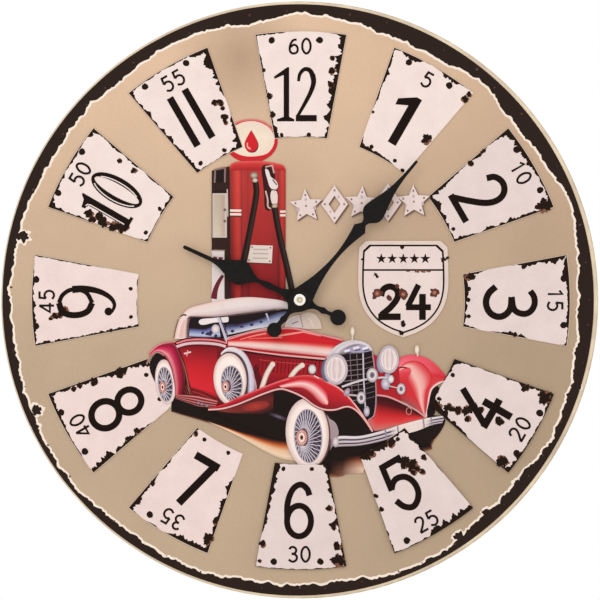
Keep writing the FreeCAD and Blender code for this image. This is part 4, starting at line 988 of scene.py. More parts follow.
def draw_band(material):
    """The dark rim print with its torn inner edge, the pale tear line and a few stray flecks."""
    rim = ellipse((BAND_SHIFT, 0), BAND_REACH, count=240)
    pale = Print("face_tear_line")
    pale.fill_round(rim, torn_circle(shrink=1.3, tear=0.8), TEAR_INK)
    pale.over()
    for x, z, size in BAND_NOTCHES:
        notch = ellipse((x, z), size + NOTCH_HALO, size * 0.8 + NOTCH_HALO, count=40)
        pale.fill(chipped(notch, size * NOTCH_TEAR, x, 0.4), TEAR_INK)
    pale.build(material)
    band = Print("face_dark_band")
    band.fill_round(rim, torn_circle(shrink=0.0, tear=1.1), BAND_INK)
    band.over()
    for x, z, size in BAND_NOTCHES:
        band.fill(chipped(ellipse((x, z), size, size * 0.8, count=40), size * NOTCH_TEAR, x, 0.4), BAND_INK)
    for i in range(FLECKS):
        angle = math.radians(i * FLECK_TURN)
        reach = FLECK_RADIUS + 1.6 * rough((i, 0), 11, 0.37)
        spot = (reach * math.cos(angle), reach * math.sin(angle))
        size = 0.5 + 0.4 * abs(rough((i, 4), 7, 0.61))
        ink = (92, 58, 48) if i % 3 else (84, 68, 62)
        band.fill(
            chipped(ellipse(spot, size, size * 0.7, math.degrees(angle), count=10), size * 0.5, i, 0.3),
            ink)
    band.build(material)


# ---------------------------------------------------------------- the fuel pump

def draw_globe(material):
    """The pump's lit globe with a plain drop of fuel on it."""
    globe = Print("pump_globe")
    globe.glow((-27.7, 90.4), 15.2, 12.4, [(205, 60, 62), (196, 44, 50)])
    globe.over()
    globe.glow((-27.7, 91), 13.4, 10.7, [CREAM, CREAM, (236, 214, 196)])
    globe.over()
    globe.line(
        smooth([(-40, 84.6), (-33, 81.4), (-25.6, 80.9), (-17.6, 83), (-14.2, 88), (-13.6, 93)]),
        (1.6, 1.2), RED)
    globe.over()
    drop = smooth(
        [(-27.6, 96.6), (-27.6, 96.6), (-25, 92), (-23.8, 88.4), (-25, 85.2), (-27.6, 84.2), (-30.2, 85.2),
         (-31.4, 88.4), (-30.2, 92)], closed=True)
    globe.fill(moved(drop, 0.4, -0.5), MAROON)
    globe.over()
    globe.fill(drop, RED)
    globe.over()
    globe.lines(
        (smooth([(-29.8, 89.4), (-29.6, 87), (-28, 85.8)]), (0.6, 1.0), (246, 170, 160)),
        (smooth([(-40.6, 96), (-36, 100.6), (-28, 102.4), (-20, 100.8), (-15.4, 96.4)]), 0.9,
         (226, 120, 116)))
    globe.build(material)


def draw_pump(material):
    """The pump's red body with flutes, its dark side, the nozzle, two hoses and a notice of plain dashes."""
    body = Print("pump_body")
    body.fill([(-50, 73.4), (-39, 76.2), (-39, -2), (-42.4, -2), (-42.4, 28), (-50, 28.2)], (52, 34, 30))
    body.fill(box(-50, -3, -42.4, 28), (224, 210, 206))
    body.over()
    top = smooth([
        (-39.8, 74.6), (-39.6, 76.6), (-36.6, 78.4), (-32, 78.9), (-22, 79), (-16, 78.2), (-12, 77.4),
        (-9, 76.4), (-8, 74.2)])
    flutes = [
        (0, (70, 22, 24)), (0.05, (132, 34, 38)), (0.11, (198, 56, 52)), (0.15, (204, 66, 58)),
        (0.19, (170, 44, 44)), (0.21, (98, 30, 46)), (0.23, (160, 42, 46)), (0.3, (150, 38, 42)),
        (0.32, (126, 32, 38)), (0.36, (160, 38, 42)), (0.6, (164, 38, 42)), (0.84, (142, 36, 42)),
        (0.87, (84, 26, 32)), (0.9, (150, 40, 42)), (0.94, (192, 54, 54)), (0.97, (170, 44, 44)),
        (1, (110, 32, 34))]
    lighter, darker = blended(flutes, (236, 88, 74), 0.3), blended(flutes, (84, 20, 26), 0.5)
    body.band([(-39.8, 74.6), (-39.2, -2)], [(-8, 74.6), (-8, -2)], lighter, darker)
    body.over()
    body.band(
        top, [(-39.8, 73.6), (-8, 73.6)],
        [(0, (224, 96, 90)), (0.3, (206, 60, 56)), (0.7, (184, 48, 48)), (1, (158, 42, 44))], count=30)
    body.fill(box(-49.6, 35.4, -41.4, 60.6), (206, 190, 178))
    body.over()
    body.band(
        [(-48.9, 59.8), (-48.9, 36.2)], [(-42.6, 59.8), (-42.6, 36.2)],
        [(0, (196, 176, 154)), (0.5, (190, 172, 152)), (1, (178, 156, 138))],
        [(0, (212, 196, 180)), (0.5, (208, 190, 172)), (1, (190, 164, 146))])
    body.lines(
        ([(-50, 61.2), (-41, 62)], 1.0, (40, 26, 24)),
        ([(-48.4, 66.6), (-48, 74), (-42.4, 75.2), (-42.6, 66.8)], 1.0, (140, 112, 104)))
    body.fill(box(-47.6, 66.8, -43, 73.8), (36, 26, 26))
    body.line([(-41.2, 63), (-40.9, 47.4)], 0.7, (196, 180, 170))
    for z in (44.8, 51.2):
        body.glow((-42.6, z), 0.9, 0.9, [(84, 66, 60), (150, 132, 122)], count=14)
    body.lines(
        (smooth([(-48.8, 0.6), (-47.8, 6), (-45.8, 10.6), (-43.6, 14)]), (3.4, 1.6), (104, 36, 48)),
        ([(-49.2, 23.6), (-47, 23.4)], 2.2, (120, 48, 60)),
        ([(-46.2, 23.3), (-43.8, 23.1)], 2.2, (120, 48, 60)),
        ([(-49.3, 28.2), (-42.4, 28)], 0.7, (170, 140, 132)),
        ([(-42.4, 0.8), (-42.4, 28)], 0.8, (60, 40, 36)))
    body.build(material)

    trim = Print("pump_trim")
    for z in (48.6, 50.7):
        trim.lines(
            ([(-39.6, z + 0.1), (-33.2, z)], 1.3, (240, 222, 210)),
            ([(-11.2, z - 0.5), (-8, z - 0.5)], 1.3, (232, 212, 202)))
    trim.line([(-39.4, 47.5), (-33.4, 47.4)], 0.6, (90, 60, 50))
    trim.blob(
        [(-21.4, 75.6), (-18, 77), (-15.4, 76), (-14, 70), (-14.4, 62), (-15.2, 54), (-17, 50.8),
         (-19.6, 52), (-20.2, 60), (-21, 68)], (58, 26, 26))
    trim.over()
    nozzle = smooth(
        [(-19.6, 74.4), (-17.8, 73.6), (-16.4, 70), (-13.4, 67.6), (-12.4, 64.4), (-14.4, 62.6),
         (-16.8, 64), (-18.2, 68)], closed=True)
    trim.fill(nozzle, (232, 220, 214))
    trim.blob([(-16.2, 61.8), (-13.2, 61.6), (-12.6, 56), (-13.4, 54.4), (-15.8, 55)], (226, 208, 200))
    trim.lines(
        ([(-19.6, 75.6), (-15.6, 76.4), (-14.6, 72)], 0.9, (200, 160, 150)),
        (smooth([(-19.4, 62), (-18.2, 57), (-18, 53), (-16.4, 51.8)]), 0.9, (202, 178, 160)))
    trim.over()
    trim.lines(
        ([(-15.4, 68.4), (-13, 65.4)], 0.7, (110, 84, 80)),
        ([(-16.6, 62.9), (-12.9, 62.2)], 0.6, (80, 50, 46)))
    trim.glow((-14.2, 53.4), 1.7, 1.4, [(216, 196, 176), (150, 120, 100)], count=16)
    trim.build(material)

    hoses = Print("pump_hoses")
    first = smooth([(-25.9, 70.6), (-25, 66), (-24.6, 60.8), (-26.6, 48.4), (-29.3, 34.6), (-32.1, 21.6)])
    second = smooth([(-14.2, 52.4), (-13.6, 48), (-11, 34.6), (-7.3, 18.7), (-4.4, 5.4)])
    for path, width in ((first, 3.3), (second, 3.4)):
        left, right = sides_of(path, width)
        hoses.band(
            left, right, [(0, (30, 20, 18)), (0.35, (60, 48, 42)), (0.6, (40, 28, 25)), (1, (24, 17, 15))],
            count=30)
    hoses.over()
    hoses.glow((-26, 70.8), 2.5, 2, [(214, 196, 176), (120, 84, 70)], count=20)
    hoses.glow((-25.4, 68), 1.6, 1.3, [(232, 220, 204), (168, 146, 128)], count=16)
    hoses.build(material)

    notice = Print("pump_notice")
    sheet = [(-29.9, 21.4), (-15.9, 20.8), (-15.3, 30.8), (-27.8, 31.2)]
    notice.fill(moved(sheet, -0.4, -0.5), (110, 50, 46))
    notice.over()
    notice.fill(sheet, (224, 208, 198))
    notice.over()
    for z in (23.6, 26.2, 28.6):
        notice.line([(-26.6, z + 0.2), (-18, z)], 0.7, (190, 168, 158))
    for spot in ((-28.8, 22.6), (-17, 22), (-16.6, 29.6), (-27, 30)):
        notice.glow(spot, 0.5, 0.5, [(90, 60, 54), (120, 90, 80)], count=10)
    notice.build(material)


# ---------------------------------------------------------------- the riveted ornaments

def star(centre, reach, inner, tilt=0.0, tips=5):
    """A star with its tips at reach and its notches at inner."""
    points = []
    for i in range(tips * 2):
        angle = math.radians(90 + tilt + 180 * i / tips)
        size = inner if i % 2 else reach
        points.append((centre[0] + size * math.cos(angle), centre[1] + size * math.sin(angle)))
    return points


def diamond(centre, across, up):
    x, z = centre
    return [(x + across, z), (x, z + up), (x - across, z), (x, z - up)]


ORNAMENTS = (((3.6, 53.4), 4), ((19.8, 54.4), 0), ((35.2, 55), -3), ((50.2, 55.4), 0), ((64.8, 55.8), 2))


def draw_ornaments(material):
    """A row of five riveted sheet-metal shapes, stars and hollow diamonds."""
    for number, (centre, tilt) in enumerate(ORNAMENTS):
        sheet = Print(f"ornament_{number + 1}")
        hollow = number % 2 == 1
        outline = diamond(centre, 7.6, 10.8) if hollow else star(centre, 9.8, 4.5, tilt)
        shadow = moved(outline, 0.7, -0.6)
        hole = diamond(centre, 3.4, 4.9)
        rivets = diamond(centre, 5.5, 7.8) if hollow else [centre] + star(centre, 6.2, 3.2, tilt)[::2]
        shadow_ink, tin, stain = (112, 84, 72), (231, 211, 205), (196, 174, 178)
        if hollow:
            sheet.fill_round(shadow, moved(hole, 0.7, -0.6), shadow_ink)
            sheet.over()
            sheet.fill_round(outline, hole, tin)
        else:
            sheet.fill(shadow, shadow_ink)
            sheet.over()
            sheet.fill(outline, tin)
        sheet.over()
        for k, spot in enumerate(rivets):
            blot = along(spot, rivets[k - 1], 0.45)
            if k % 2:
                sheet.fill(chipped(ellipse(blot, 0.7, 1.0, count=12), 0.4, k + number, 0.3), stain)
            sheet.glow(spot, 0.6, 0.7, [(96, 76, 78), (170, 148, 146)], count=10)
        sheet.build(material)


# ---------------------------------------------------------------- the crest

CREST_MIDDLE = (58.9, 6.5)
CREST_HALF = (23, 25)


def draw_crest(material):
    """A plain pressed-metal crest with a number, a row of stars and rust spots."""
    half = [
        (58.9, 31.4), (78.2, 31.4), (78.2, 31.4), (81.8, 28), (81.8, 28), (82.3, 16), (82, 5), (79.4, -4),
        (73.6, -11.6), (66, -16.4), (58.9, -19), (58.9, -19)]
    mirror = [(2 * CREST_MIDDLE[0] - x, z) for x, z in reversed(half)]
    outline = smooth(half + mirror[1:-1], closed=True)

    def scaled(grow):
        stretch = [1 + grow / reach for reach in CREST_HALF]
        middle = CREST_MIDDLE
        return [tuple(middle[n] + (point[n] - middle[n]) * stretch[n] for n in (0, 1)) for point in outline]
    crest = Print("crest")
    crest.fill(scaled(2.2), (226, 205, 194))
    crest.over()
    crest.fill(outline, INK_BLACK)
    crest.over()
    crest.fill(scaled(-1.0), (233, 214, 208))
    crest.over()
    crest.line([(36.4, 17), (81.4, 17)], 1.0, INK_BLACK)
    for x in (46.4, 52.6, 58.9, 65.2, 71.4):
        crest.fill(star((x, 23.4), 3.1, 1.25), INK_BLACK)
    two = smooth([(46.2, 2.2), (47.6, 6), (51.4, 7.6), (55.2, 5.6), (55.6, 1.4), (51.8, -4), (46.4, -8.6)])
    crest.lines(
        (two, 3.6, INK_BLACK), ([(44.6, -9.6), (57.4, -9.6)], 3.8, INK_BLACK),
        ([(67.6, 8.6), (61.4, -3.8)], 3.4, INK_BLACK), ([(60.4, -4.2), (74.6, -4.2)], 3.4, INK_BLACK),
        ([(69.8, 3.4), (69.8, -11.4)], 3.8, INK_BLACK))
    crest.build(material)
    wear = Print("crest_wear")
    rivets = ((44, 3.7, 2.9), (58.9, 3.2, 2.6), (76.6, 4.1, 2.6))
    for x, z, size in rivets + ((50.7, 1.2, 1.8), (55.6, 8, 1.5)):
        wear.fill(chipped(ellipse((x, z), size, count=24), size * 0.3, x, 0.4), (92, 52, 42))
    wear.over()
    for x, z, size in rivets:
        wear.glow(
            (x, z), size * 0.62, size * 0.62, [(206, 150, 134), (150, 92, 76), (104, 60, 48)], count=18)
    for x, z, size in (
            (43, 14, 1.8), (58.4, -13.4, 1.6), (82.6, 23.4, 2.2), (36, 23.2, 1), (58.6, -18.4, 1.5),
            (57.6, 29.8, 1)):
        wear.fill(chipped(ellipse((x, z), size, size * 0.75, count=18), size * 0.8, x, 0.3), CHIP_BROWN)
    for x, z in ((66.6, 16.2), (70, 16), (73.6, 16.2), (62, 16.4)):
        wear.fill(chipped(ellipse((x, z), 1.3, 0.5, count=12), 0.5, x, 0.3), RUST)
    wear.build(material)


# ---------------------------------------------------------------- the car

def draw_wheel(sheet, centre, across, up, spokes_at, spokes_across, spokes_up, tilt=0.0):
    """A pale-walled tyre round the dark gaps between the spokes."""
    sheet.glow(
        centre, across, up, [CREAM, CREAM, CREAM, (252, 234, 226), (252, 232, 224), (214, 188, 180)], tilt)
    sheet.over()
    sheet.line(ellipse(spokes_at, spokes_across, spokes_up, tilt), 1.3, (176, 166, 176), closed=True)
    sheet.glow(
        spokes_at, spokes_across, spokes_up, [(132, 112, 118), (92, 74, 82), (54, 40, 46), (74, 58, 66)],
        tilt)


SPOKE_LEAN = 0.07           # of a turn
SPOKE_WIDTH = 0.42
HUB_SHARE = 0.34            # of the way from the hub's middle to the rim


def draw_spokes(sheet, hub, rim, count):
    """Crossed pale wires from the hub to the rim."""
    for turn, ink in ((SPOKE_LEAN, (128, 122, 146)), (-SPOKE_LEAN, (218, 206, 212))):
        for i in range(count):
            end = rim[i * len(rim) // count]
            lean = rim[int((i / count + turn) * len(rim)) % len(rim)]
            sheet.line([along(hub, lean, HUB_SHARE), end], SPOKE_WIDTH, ink)


def draw_hub(sheet, centre, across, up):
    """The round cap over a wheel's hub, with its ring and its dark middle."""
    sheet.over()
    sheet.glow(
        centre, across, up, [(120, 50, 50), (244, 220, 206), (244, 214, 200), (150, 60, 64)], count=24)
    sheet.line(ellipse(centre, across * 0.66, up * 0.66, count=20), 0.45, (190, 90, 88), closed=True)
    sheet.glow(centre, across * 0.28, up * 0.28, [(60, 30, 30), (110, 52, 50)], count=12)


def draw_car_ground(material):
    """The black pool of shadow under the car, with warm light on the ground beside the front wheel."""
    ground = Print("car_shadow")
    low = smooth([
        (-73, -62.4), (-66, -64.6), (-59, -66.6), (-48, -70), (-41, -72.6), (-34, -75.2), (-27, -77),
        (-19.7, -79), (-12.6, -80.6), (-6, -81.6), (0, -85), (6, -92), (12, -98), (18, -99.4), (25, -98.8),
        (31, -92), (40, -88.6), (50, -86.4), (60, -82.6), (70, -84.6), (76, -83.4), (75, -81), (80, -74),
        (82, -68)])
    high = smooth([(-73, -56), (-40, -58), (10, -60), (50, -64), (80, -66)])
    ground.band(
        moved(low, 0, -1.1), high,
        [(0, (150, 96, 66)), (0.04, (84, 50, 38)), (0.1, SHADOW_BLACK), (1, SHADOW_BLACK)], count=60)
    ground.over()
    ground.sweep(
        [(-52, -69.2), (-44, -71.6), (-34, -75), (-27, -76.8), (-19.7, -78.8), (-12, -80.2), (-3, -80.6)],
        [(-52, -69.3), (-44, -73), (-34, -78), (-27, -82), (-19, -86.6), (-10, -90.4), (0, -92)],
        [(0, SHADOW_BLACK), (0.16, (150, 66, 38)), (0.3, (206, 116, 66)), (0.5, (234, 188, 148)),
         (0.8, (240, 210, 180)), (1, (206, 178, 148))], count=40)
    shares = (0, 0.2, 0.45, 0.75, 1)
    dark = list(zip(shares, [SHADOW_BLACK] * 5))
    dim = list(zip(shares, [SHADOW_BLACK, SHADOW_BLACK, (70, 38, 30), (104, 62, 50), (120, 80, 66)]))
    pale = list(zip(
        shares, [SHADOW_BLACK, (140, 64, 42), (214, 152, 120), (240, 202, 178), (222, 188, 162)]))
    ground.band([(18, -89), (25, -89)], [(17, -98.6), (24, -99.2)], dark, dim)
    ground.band([(25, -89), (40, -88)], smooth([(24, -99.2), (29, -98.8), (36, -98.4)]), dim, pale)
    ground.band(
        [(-40, -61), (-14, -63.6)], [(-38, -65.6), (-15, -66)],
        [(0, (100, 34, 30)), (0.5, (160, 52, 42)), (1, (90, 34, 28))], count=10)
    ground.band(
        [(-24, -66.4), (-8, -65)], [(-23, -68), (-8, -67)],
        [(0, (44, 34, 36)), (0.5, (120, 104, 122)), (1, (44, 34, 36))], count=8)
    ground.build(material)


def draw_car_far_side(material):
    """The far fender with its light stripe, over its dark tyre."""
    far = Print("car_far_side")
    far.blob(
        [(54, -66), (70, -66), (82, -67), (80.6, -74), (74, -80.6), (66, -82), (58, -80)], (34, 24, 20))
    crown = smooth([
        (54.6, -36.4), (58, -32.4), (63, -31.2), (68.1, -31.6), (73, -33.4), (77.4, -36.6), (81, -40.4),
        (84.6, -45)])
    inner = smooth([
        (54.2, -55.6), (60, -58), (66, -62), (71.6, -67.4), (72.6, -62), (74, -52), (78, -47.6),
        (84, -45.6)])
    far.over()
    far.band(
        crown, inner,
        [(0, (232, 84, 98)), (0.1, (248, 118, 134)), (0.22, (255, 132, 148)), (0.34, (228, 72, 84)),
         (0.5, (214, 52, 58)), (0.8, (206, 46, 52)), (1, (150, 32, 40))],
        [(0, (222, 90, 96)), (0.1, RED), (0.22, RED), (0.34, RED), (0.5, (206, 60, 66)),
         (0.8, (214, 70, 72)), (1, PINK)], count=30)
    far.over()
    shine = smooth([
        (56.4, -39), (60, -35.6), (66, -34.6), (71, -37), (74.6, -41.6), (75, -46), (72.6, -50.6),
        (71.4, -58), (71.2, -66)])
    dull = smooth([
        (57, -40.6), (61.4, -39.2), (63, -41), (61, -45), (62.6, -49), (65, -54), (68, -61), (71, -66.6)])
    far.band(
        shine, dull,
        [(0, RED), (0.2, (226, 96, 98)), (0.45, (240, 168, 162)), (0.65, (244, 188, 178)),
         (0.85, (226, 96, 98)), (1, RED)], count=34)
    far.line(
        smooth([(71.6, -67), (72.6, -62), (73.6, -55), (75, -50.6), (79, -47.4), (84.4, -45.6)]), 0.9,
        PALE_PINK)
    far.blob(
        [(72.6, -66), (73.6, -58), (75, -52), (78.4, -49), (79, -52), (77, -58), (76.6, -65)], (32, 23, 20))
    far.line(smooth([(54.6, -39.6), (57.6, -38.4), (61, -38.6)]), 0.7, MAROON)
    far.build(material)


GRILLE_ROWS = 9
GRILLE_TOP = -33.6
GRILLE_STEP = 2.85


def draw_car_radiator(material):
    """The apron and the plated radiator shell round its grille."""
    nose = Print("car_radiator")
    nose.fill([(40, -30), (46, -33), (56.4, -38), (57, -52), (58, -59), (42, -56)], (176, 36, 44))
    nose.fill([(12, -38), (42, -34), (43, -66), (39, -70), (30, -60), (20, -50)], (44, 24, 28))
    nose.band(
        [(42.6, -54.4), (50, -55.6), (62, -60.4), (71, -66.4)],
        [(38.4, -68.8), (42.5, -74.6), (56, -72.6), (71, -67)],
        [(0, (56, 20, 24)), (0.22, (90, 24, 28)), (0.5, (196, 40, 44)), (0.75, (222, 66, 66)),
         (1, (206, 120, 112))])
    nose.line(
        smooth([(42.6, -54), (50, -55), (58, -58.4), (66, -62.6), (71.4, -66.6)]), 0.9, (214, 160, 156))
    nose.over()
    shell = smooth([
        (12.6, -40.6), (15, -33), (19.8, -26.8), (27.4, -23.3), (32, -23), (37, -24.2), (40.5, -26.8),
        (41.8, -31), (41.6, -36)])
    inside = smooth([
        (19, -41), (21, -34), (24.6, -29), (29, -26.4), (33, -25.4), (37, -26.2), (39.6, -28.4), (41, -31),
        (41.2, -36)])
    nose.band(
        shell, inside,
        [(0, (234, 222, 220)), (0.3, (206, 196, 204)), (0.6, (226, 216, 220)), (1, (150, 136, 150))],
        count=34)
    nose.fill(
        [(22.6, -30), (26, -28), (31, -26), (35.4, -25.4), (38.6, -27), (41, -29), (35.6, -30)],
        (168, 158, 184))
    nose.over()
    nose.fill(
        [(23.4, -31), (35.8, -30.2), (41, -28.8), (42.2, -36.4), (43.3, -55), (41.9, -67.2), (38.4, -68.6),
         (27.4, -51.6), (23, -48.4)], (30, 22, 24))
    nose.over()
    for row in range(GRILLE_ROWS):
        z = GRILLE_TOP - row * GRILLE_STEP
        nose.lines(
            ([(23.6 + row * 0.35, z - 1.3), (36.2 + row * 0.1, z)], 0.38, (146, 124, 128)),
            ([(36.2 + row * 0.1, z), (41.6 + row * 0.14, z + 1.6)], 0.34, (120, 100, 106)))
    for x in (28.6, 32.4):
        nose.line([(x, -30.6), (x + 1.2, -54)], 0.4, (128, 108, 112))
    nose.line([(36.0, -30.2), (36.4, -46), (37.6, -66)], 0.8, (206, 192, 200))
    for left, right, high in ((25.4, 28.6, -28.4), (30.4, 33.8, -26.8), (35.6, 38.8, -27)):
        nose.lines(
            ([(left, high - 0.9), (right, high)], 1.3, (236, 228, 232)),
            ([(left + 0.8, high - 2), (right + 0.6, high - 1.4)], 0.7, (92, 84, 116)))
    nose.lines(
        (smooth([(41.2, -29), (42.6, -40), (43.4, -55), (42.2, -65.6), (38.8, -68.4)]), 0.7,
         (170, 140, 142)),
        ([(24, -49.4), (30, -47.2), (37, -45.2), (47.6, -44)], 1.1, (214, 204, 208)))
    nose.glow((38.1, -63.3), 1.7, 3, [(226, 218, 224), (150, 140, 156)], count=18)
    nose.build(material)


LOUVRES = 17
FIRST_LOUVRE = -23
LOUVRE_STEP = 2.15


def draw_car_side(material):
    """The door, the scuttle and the louvred side with its two outside pipes."""
    side = Print("car_side")
    side.fill(
        [(-72, -24.4), (-64, -22.2), (-44, -21.4), (-40.9, -25.6), (14.6, -33.4), (15.4, -46), (4, -48),
         (-20, -54), (-46, -62), (-70, -56)], (118, 24, 32))
    side.over()
    side.band(
        [(-69.6, -25), (-58, -25.4), (-47, -26.6)], [(-61.4, -51), (-54, -53.6), (-46.4, -56.4)],
        [(0, (120, 24, 32)), (0.14, (150, 30, 38)), (0.3, (176, 34, 42)), (0.55, (204, 38, 46)),
         (0.9, (214, 42, 52)), (1, (130, 26, 32))])
    side.sweep(
        [(-71.6, -25), (-69, -31), (-67.2, -38), (-66.6, -46), (-67.4, -54)],
        [(-69.4, -26), (-66, -34), (-63.8, -42), (-62.4, -50), (-61.4, -54)],
        [(0, (70, 18, 24)), (0.5, (46, 20, 20)), (1, (70, 24, 26))])
    louvres = [(0, (104, 20, 30)), (0.3, (140, 26, 34)), (0.6, (150, 28, 36)), (1, (96, 22, 28))]
    side.band(
        [(-30, -28.4), (-10, -32), (14.6, -34.4)], [(-25, -52), (-4, -47.6), (14.4, -45)], louvres,
        blended(louvres, RED, 0.4))
    side.over()
    for i in range(LOUVRES):
        x = FIRST_LOUVRE + i * LOUVRE_STEP
        side.line([(x, -33.8 - i * 0.04), (x - 0.7, -41.4 - i * 0.04)], 0.42, (84, 18, 26))
    side.lines(
        ([(-23, -34), (-10, -35.6), (8, -36.8)], 0.5, (186, 60, 58)),
        (smooth([(-71.4, -25.4), (-68.4, -31), (-65.6, -38), (-63.8, -46), (-62.6, -53.6)]), 0.7,
         (150, 96, 72)),
        ([(-61.8, -50.4), (-55, -52.4), (-47.6, -56.2)], 0.7, (96, 30, 28)),
        ([(-60.8, -52), (-54, -54.4), (-47.4, -57.6)], 0.5, (170, 60, 56)))
    side.fill([(-28, -49), (-26, -38), (-24.6, -36), (-20.6, -48), (-21, -51.6)], (92, 22, 30))
    side.lines(
        ([(-65.8, -30.6), (-61.8, -29.6)], 0.9, (238, 200, 196)),
        ([(-64.2, -32), (-63.6, -28.6)], 0.6, (226, 170, 166)))
    for k in range(5):
        side.line([(-68.4 + k * 1.3, -46 - k * 0.7), (-65.6 + k * 1.1, -54.2)], 0.32, (140, 60, 56))
    side.over()
    for start, middle, end in (
            ((-21.6, -50.4), (-18.6, -42), (-15.4, -36.6)), ((-5.4, -44.4), (-2, -39.8), (1.4, -37.2))):
        left, right = sides_of(smooth([start, middle, end]), 2.9)
        side.band(
            left, right,
            [(0, (190, 170, 168)), (0.35, CREAM), (0.75, (232, 214, 204)), (1, (150, 110, 110))], count=10)
        side.glow(end, 1.5, 1.5, [CREAM, (226, 208, 200)], count=16)
    side.build(material)


def draw_car_hood(material):
    """The hood's two slopes and the pale line along its hinge."""
    hood = Print("car_hood")
    hood.blob(
        [(-41, -22.4), (-36, -20.2), (-28, -18), (-20, -16.8), (-10, -16), (-2, -16.2), (6, -18), (16, -21),
         (25.5, -22.6), (25.5, -22.6), (19, -27.4), (14.6, -34), (14.6, -34), (-10, -31.6), (-41, -26.6),
         (-41, -26.6)], (206, 36, 44))
    hood.over()
    hood.sweep(
        [(-41, -22.2), (-28, -17.8), (-10, -15.6), (-2, -15.8), (10, -18.8), (25.4, -22.4)],
        [(-40, -23.4), (-26, -20), (-10, -18), (-2, -18.2), (8, -20.4), (22, -24)],
        [(0, (190, 120, 122)), (0.3, PINK), (0.6, (168, 34, 44)), (1, (206, 36, 44))], count=30)
    hood.band(
        [(-40.6, -23), (-28, -22.4), (-12, -23), (4, -24), (20, -25.4)],
        [(-40.6, -26.4), (-26, -28.2), (-10, -30), (4, -31.6), (15, -33)],
        [(0, (206, 36, 44)), (0.16, (224, 84, 80)), (0.4, (240, 190, 180)), (0.62, (238, 210, 204)),
         (0.8, (232, 170, 164)), (1, (178, 44, 50))], count=30)
    hood.over()
    hood.lines(
        ([(-40, -26.2), (-24, -28.4), (-10, -30), (14.6, -32.4)], 0.5, (130, 34, 40)),
        ([(-39.6, -27.2), (-24, -29.6), (-10, -31.4), (14.6, -33.6)], (0.5, 1.0), (226, 176, 170)),
        ([(-41, -28), (-24, -30.6), (-10, -32.3), (14.6, -34.6)], (0.5, 0.8), (58, 20, 26)),
        (smooth([(-34, -22.6), (-26, -20.4), (-19, -19)]), (0.4, 1.3), (238, 130, 116)),
        ([(-29, -22), (-10, -21.4)], (0.3, 0.8), (236, 120, 110)),
        ([(-12, -20.4), (2, -18.2), (12, -20.6)], (1.2, 0.4), (236, 150, 140)))
    hood.build(material)


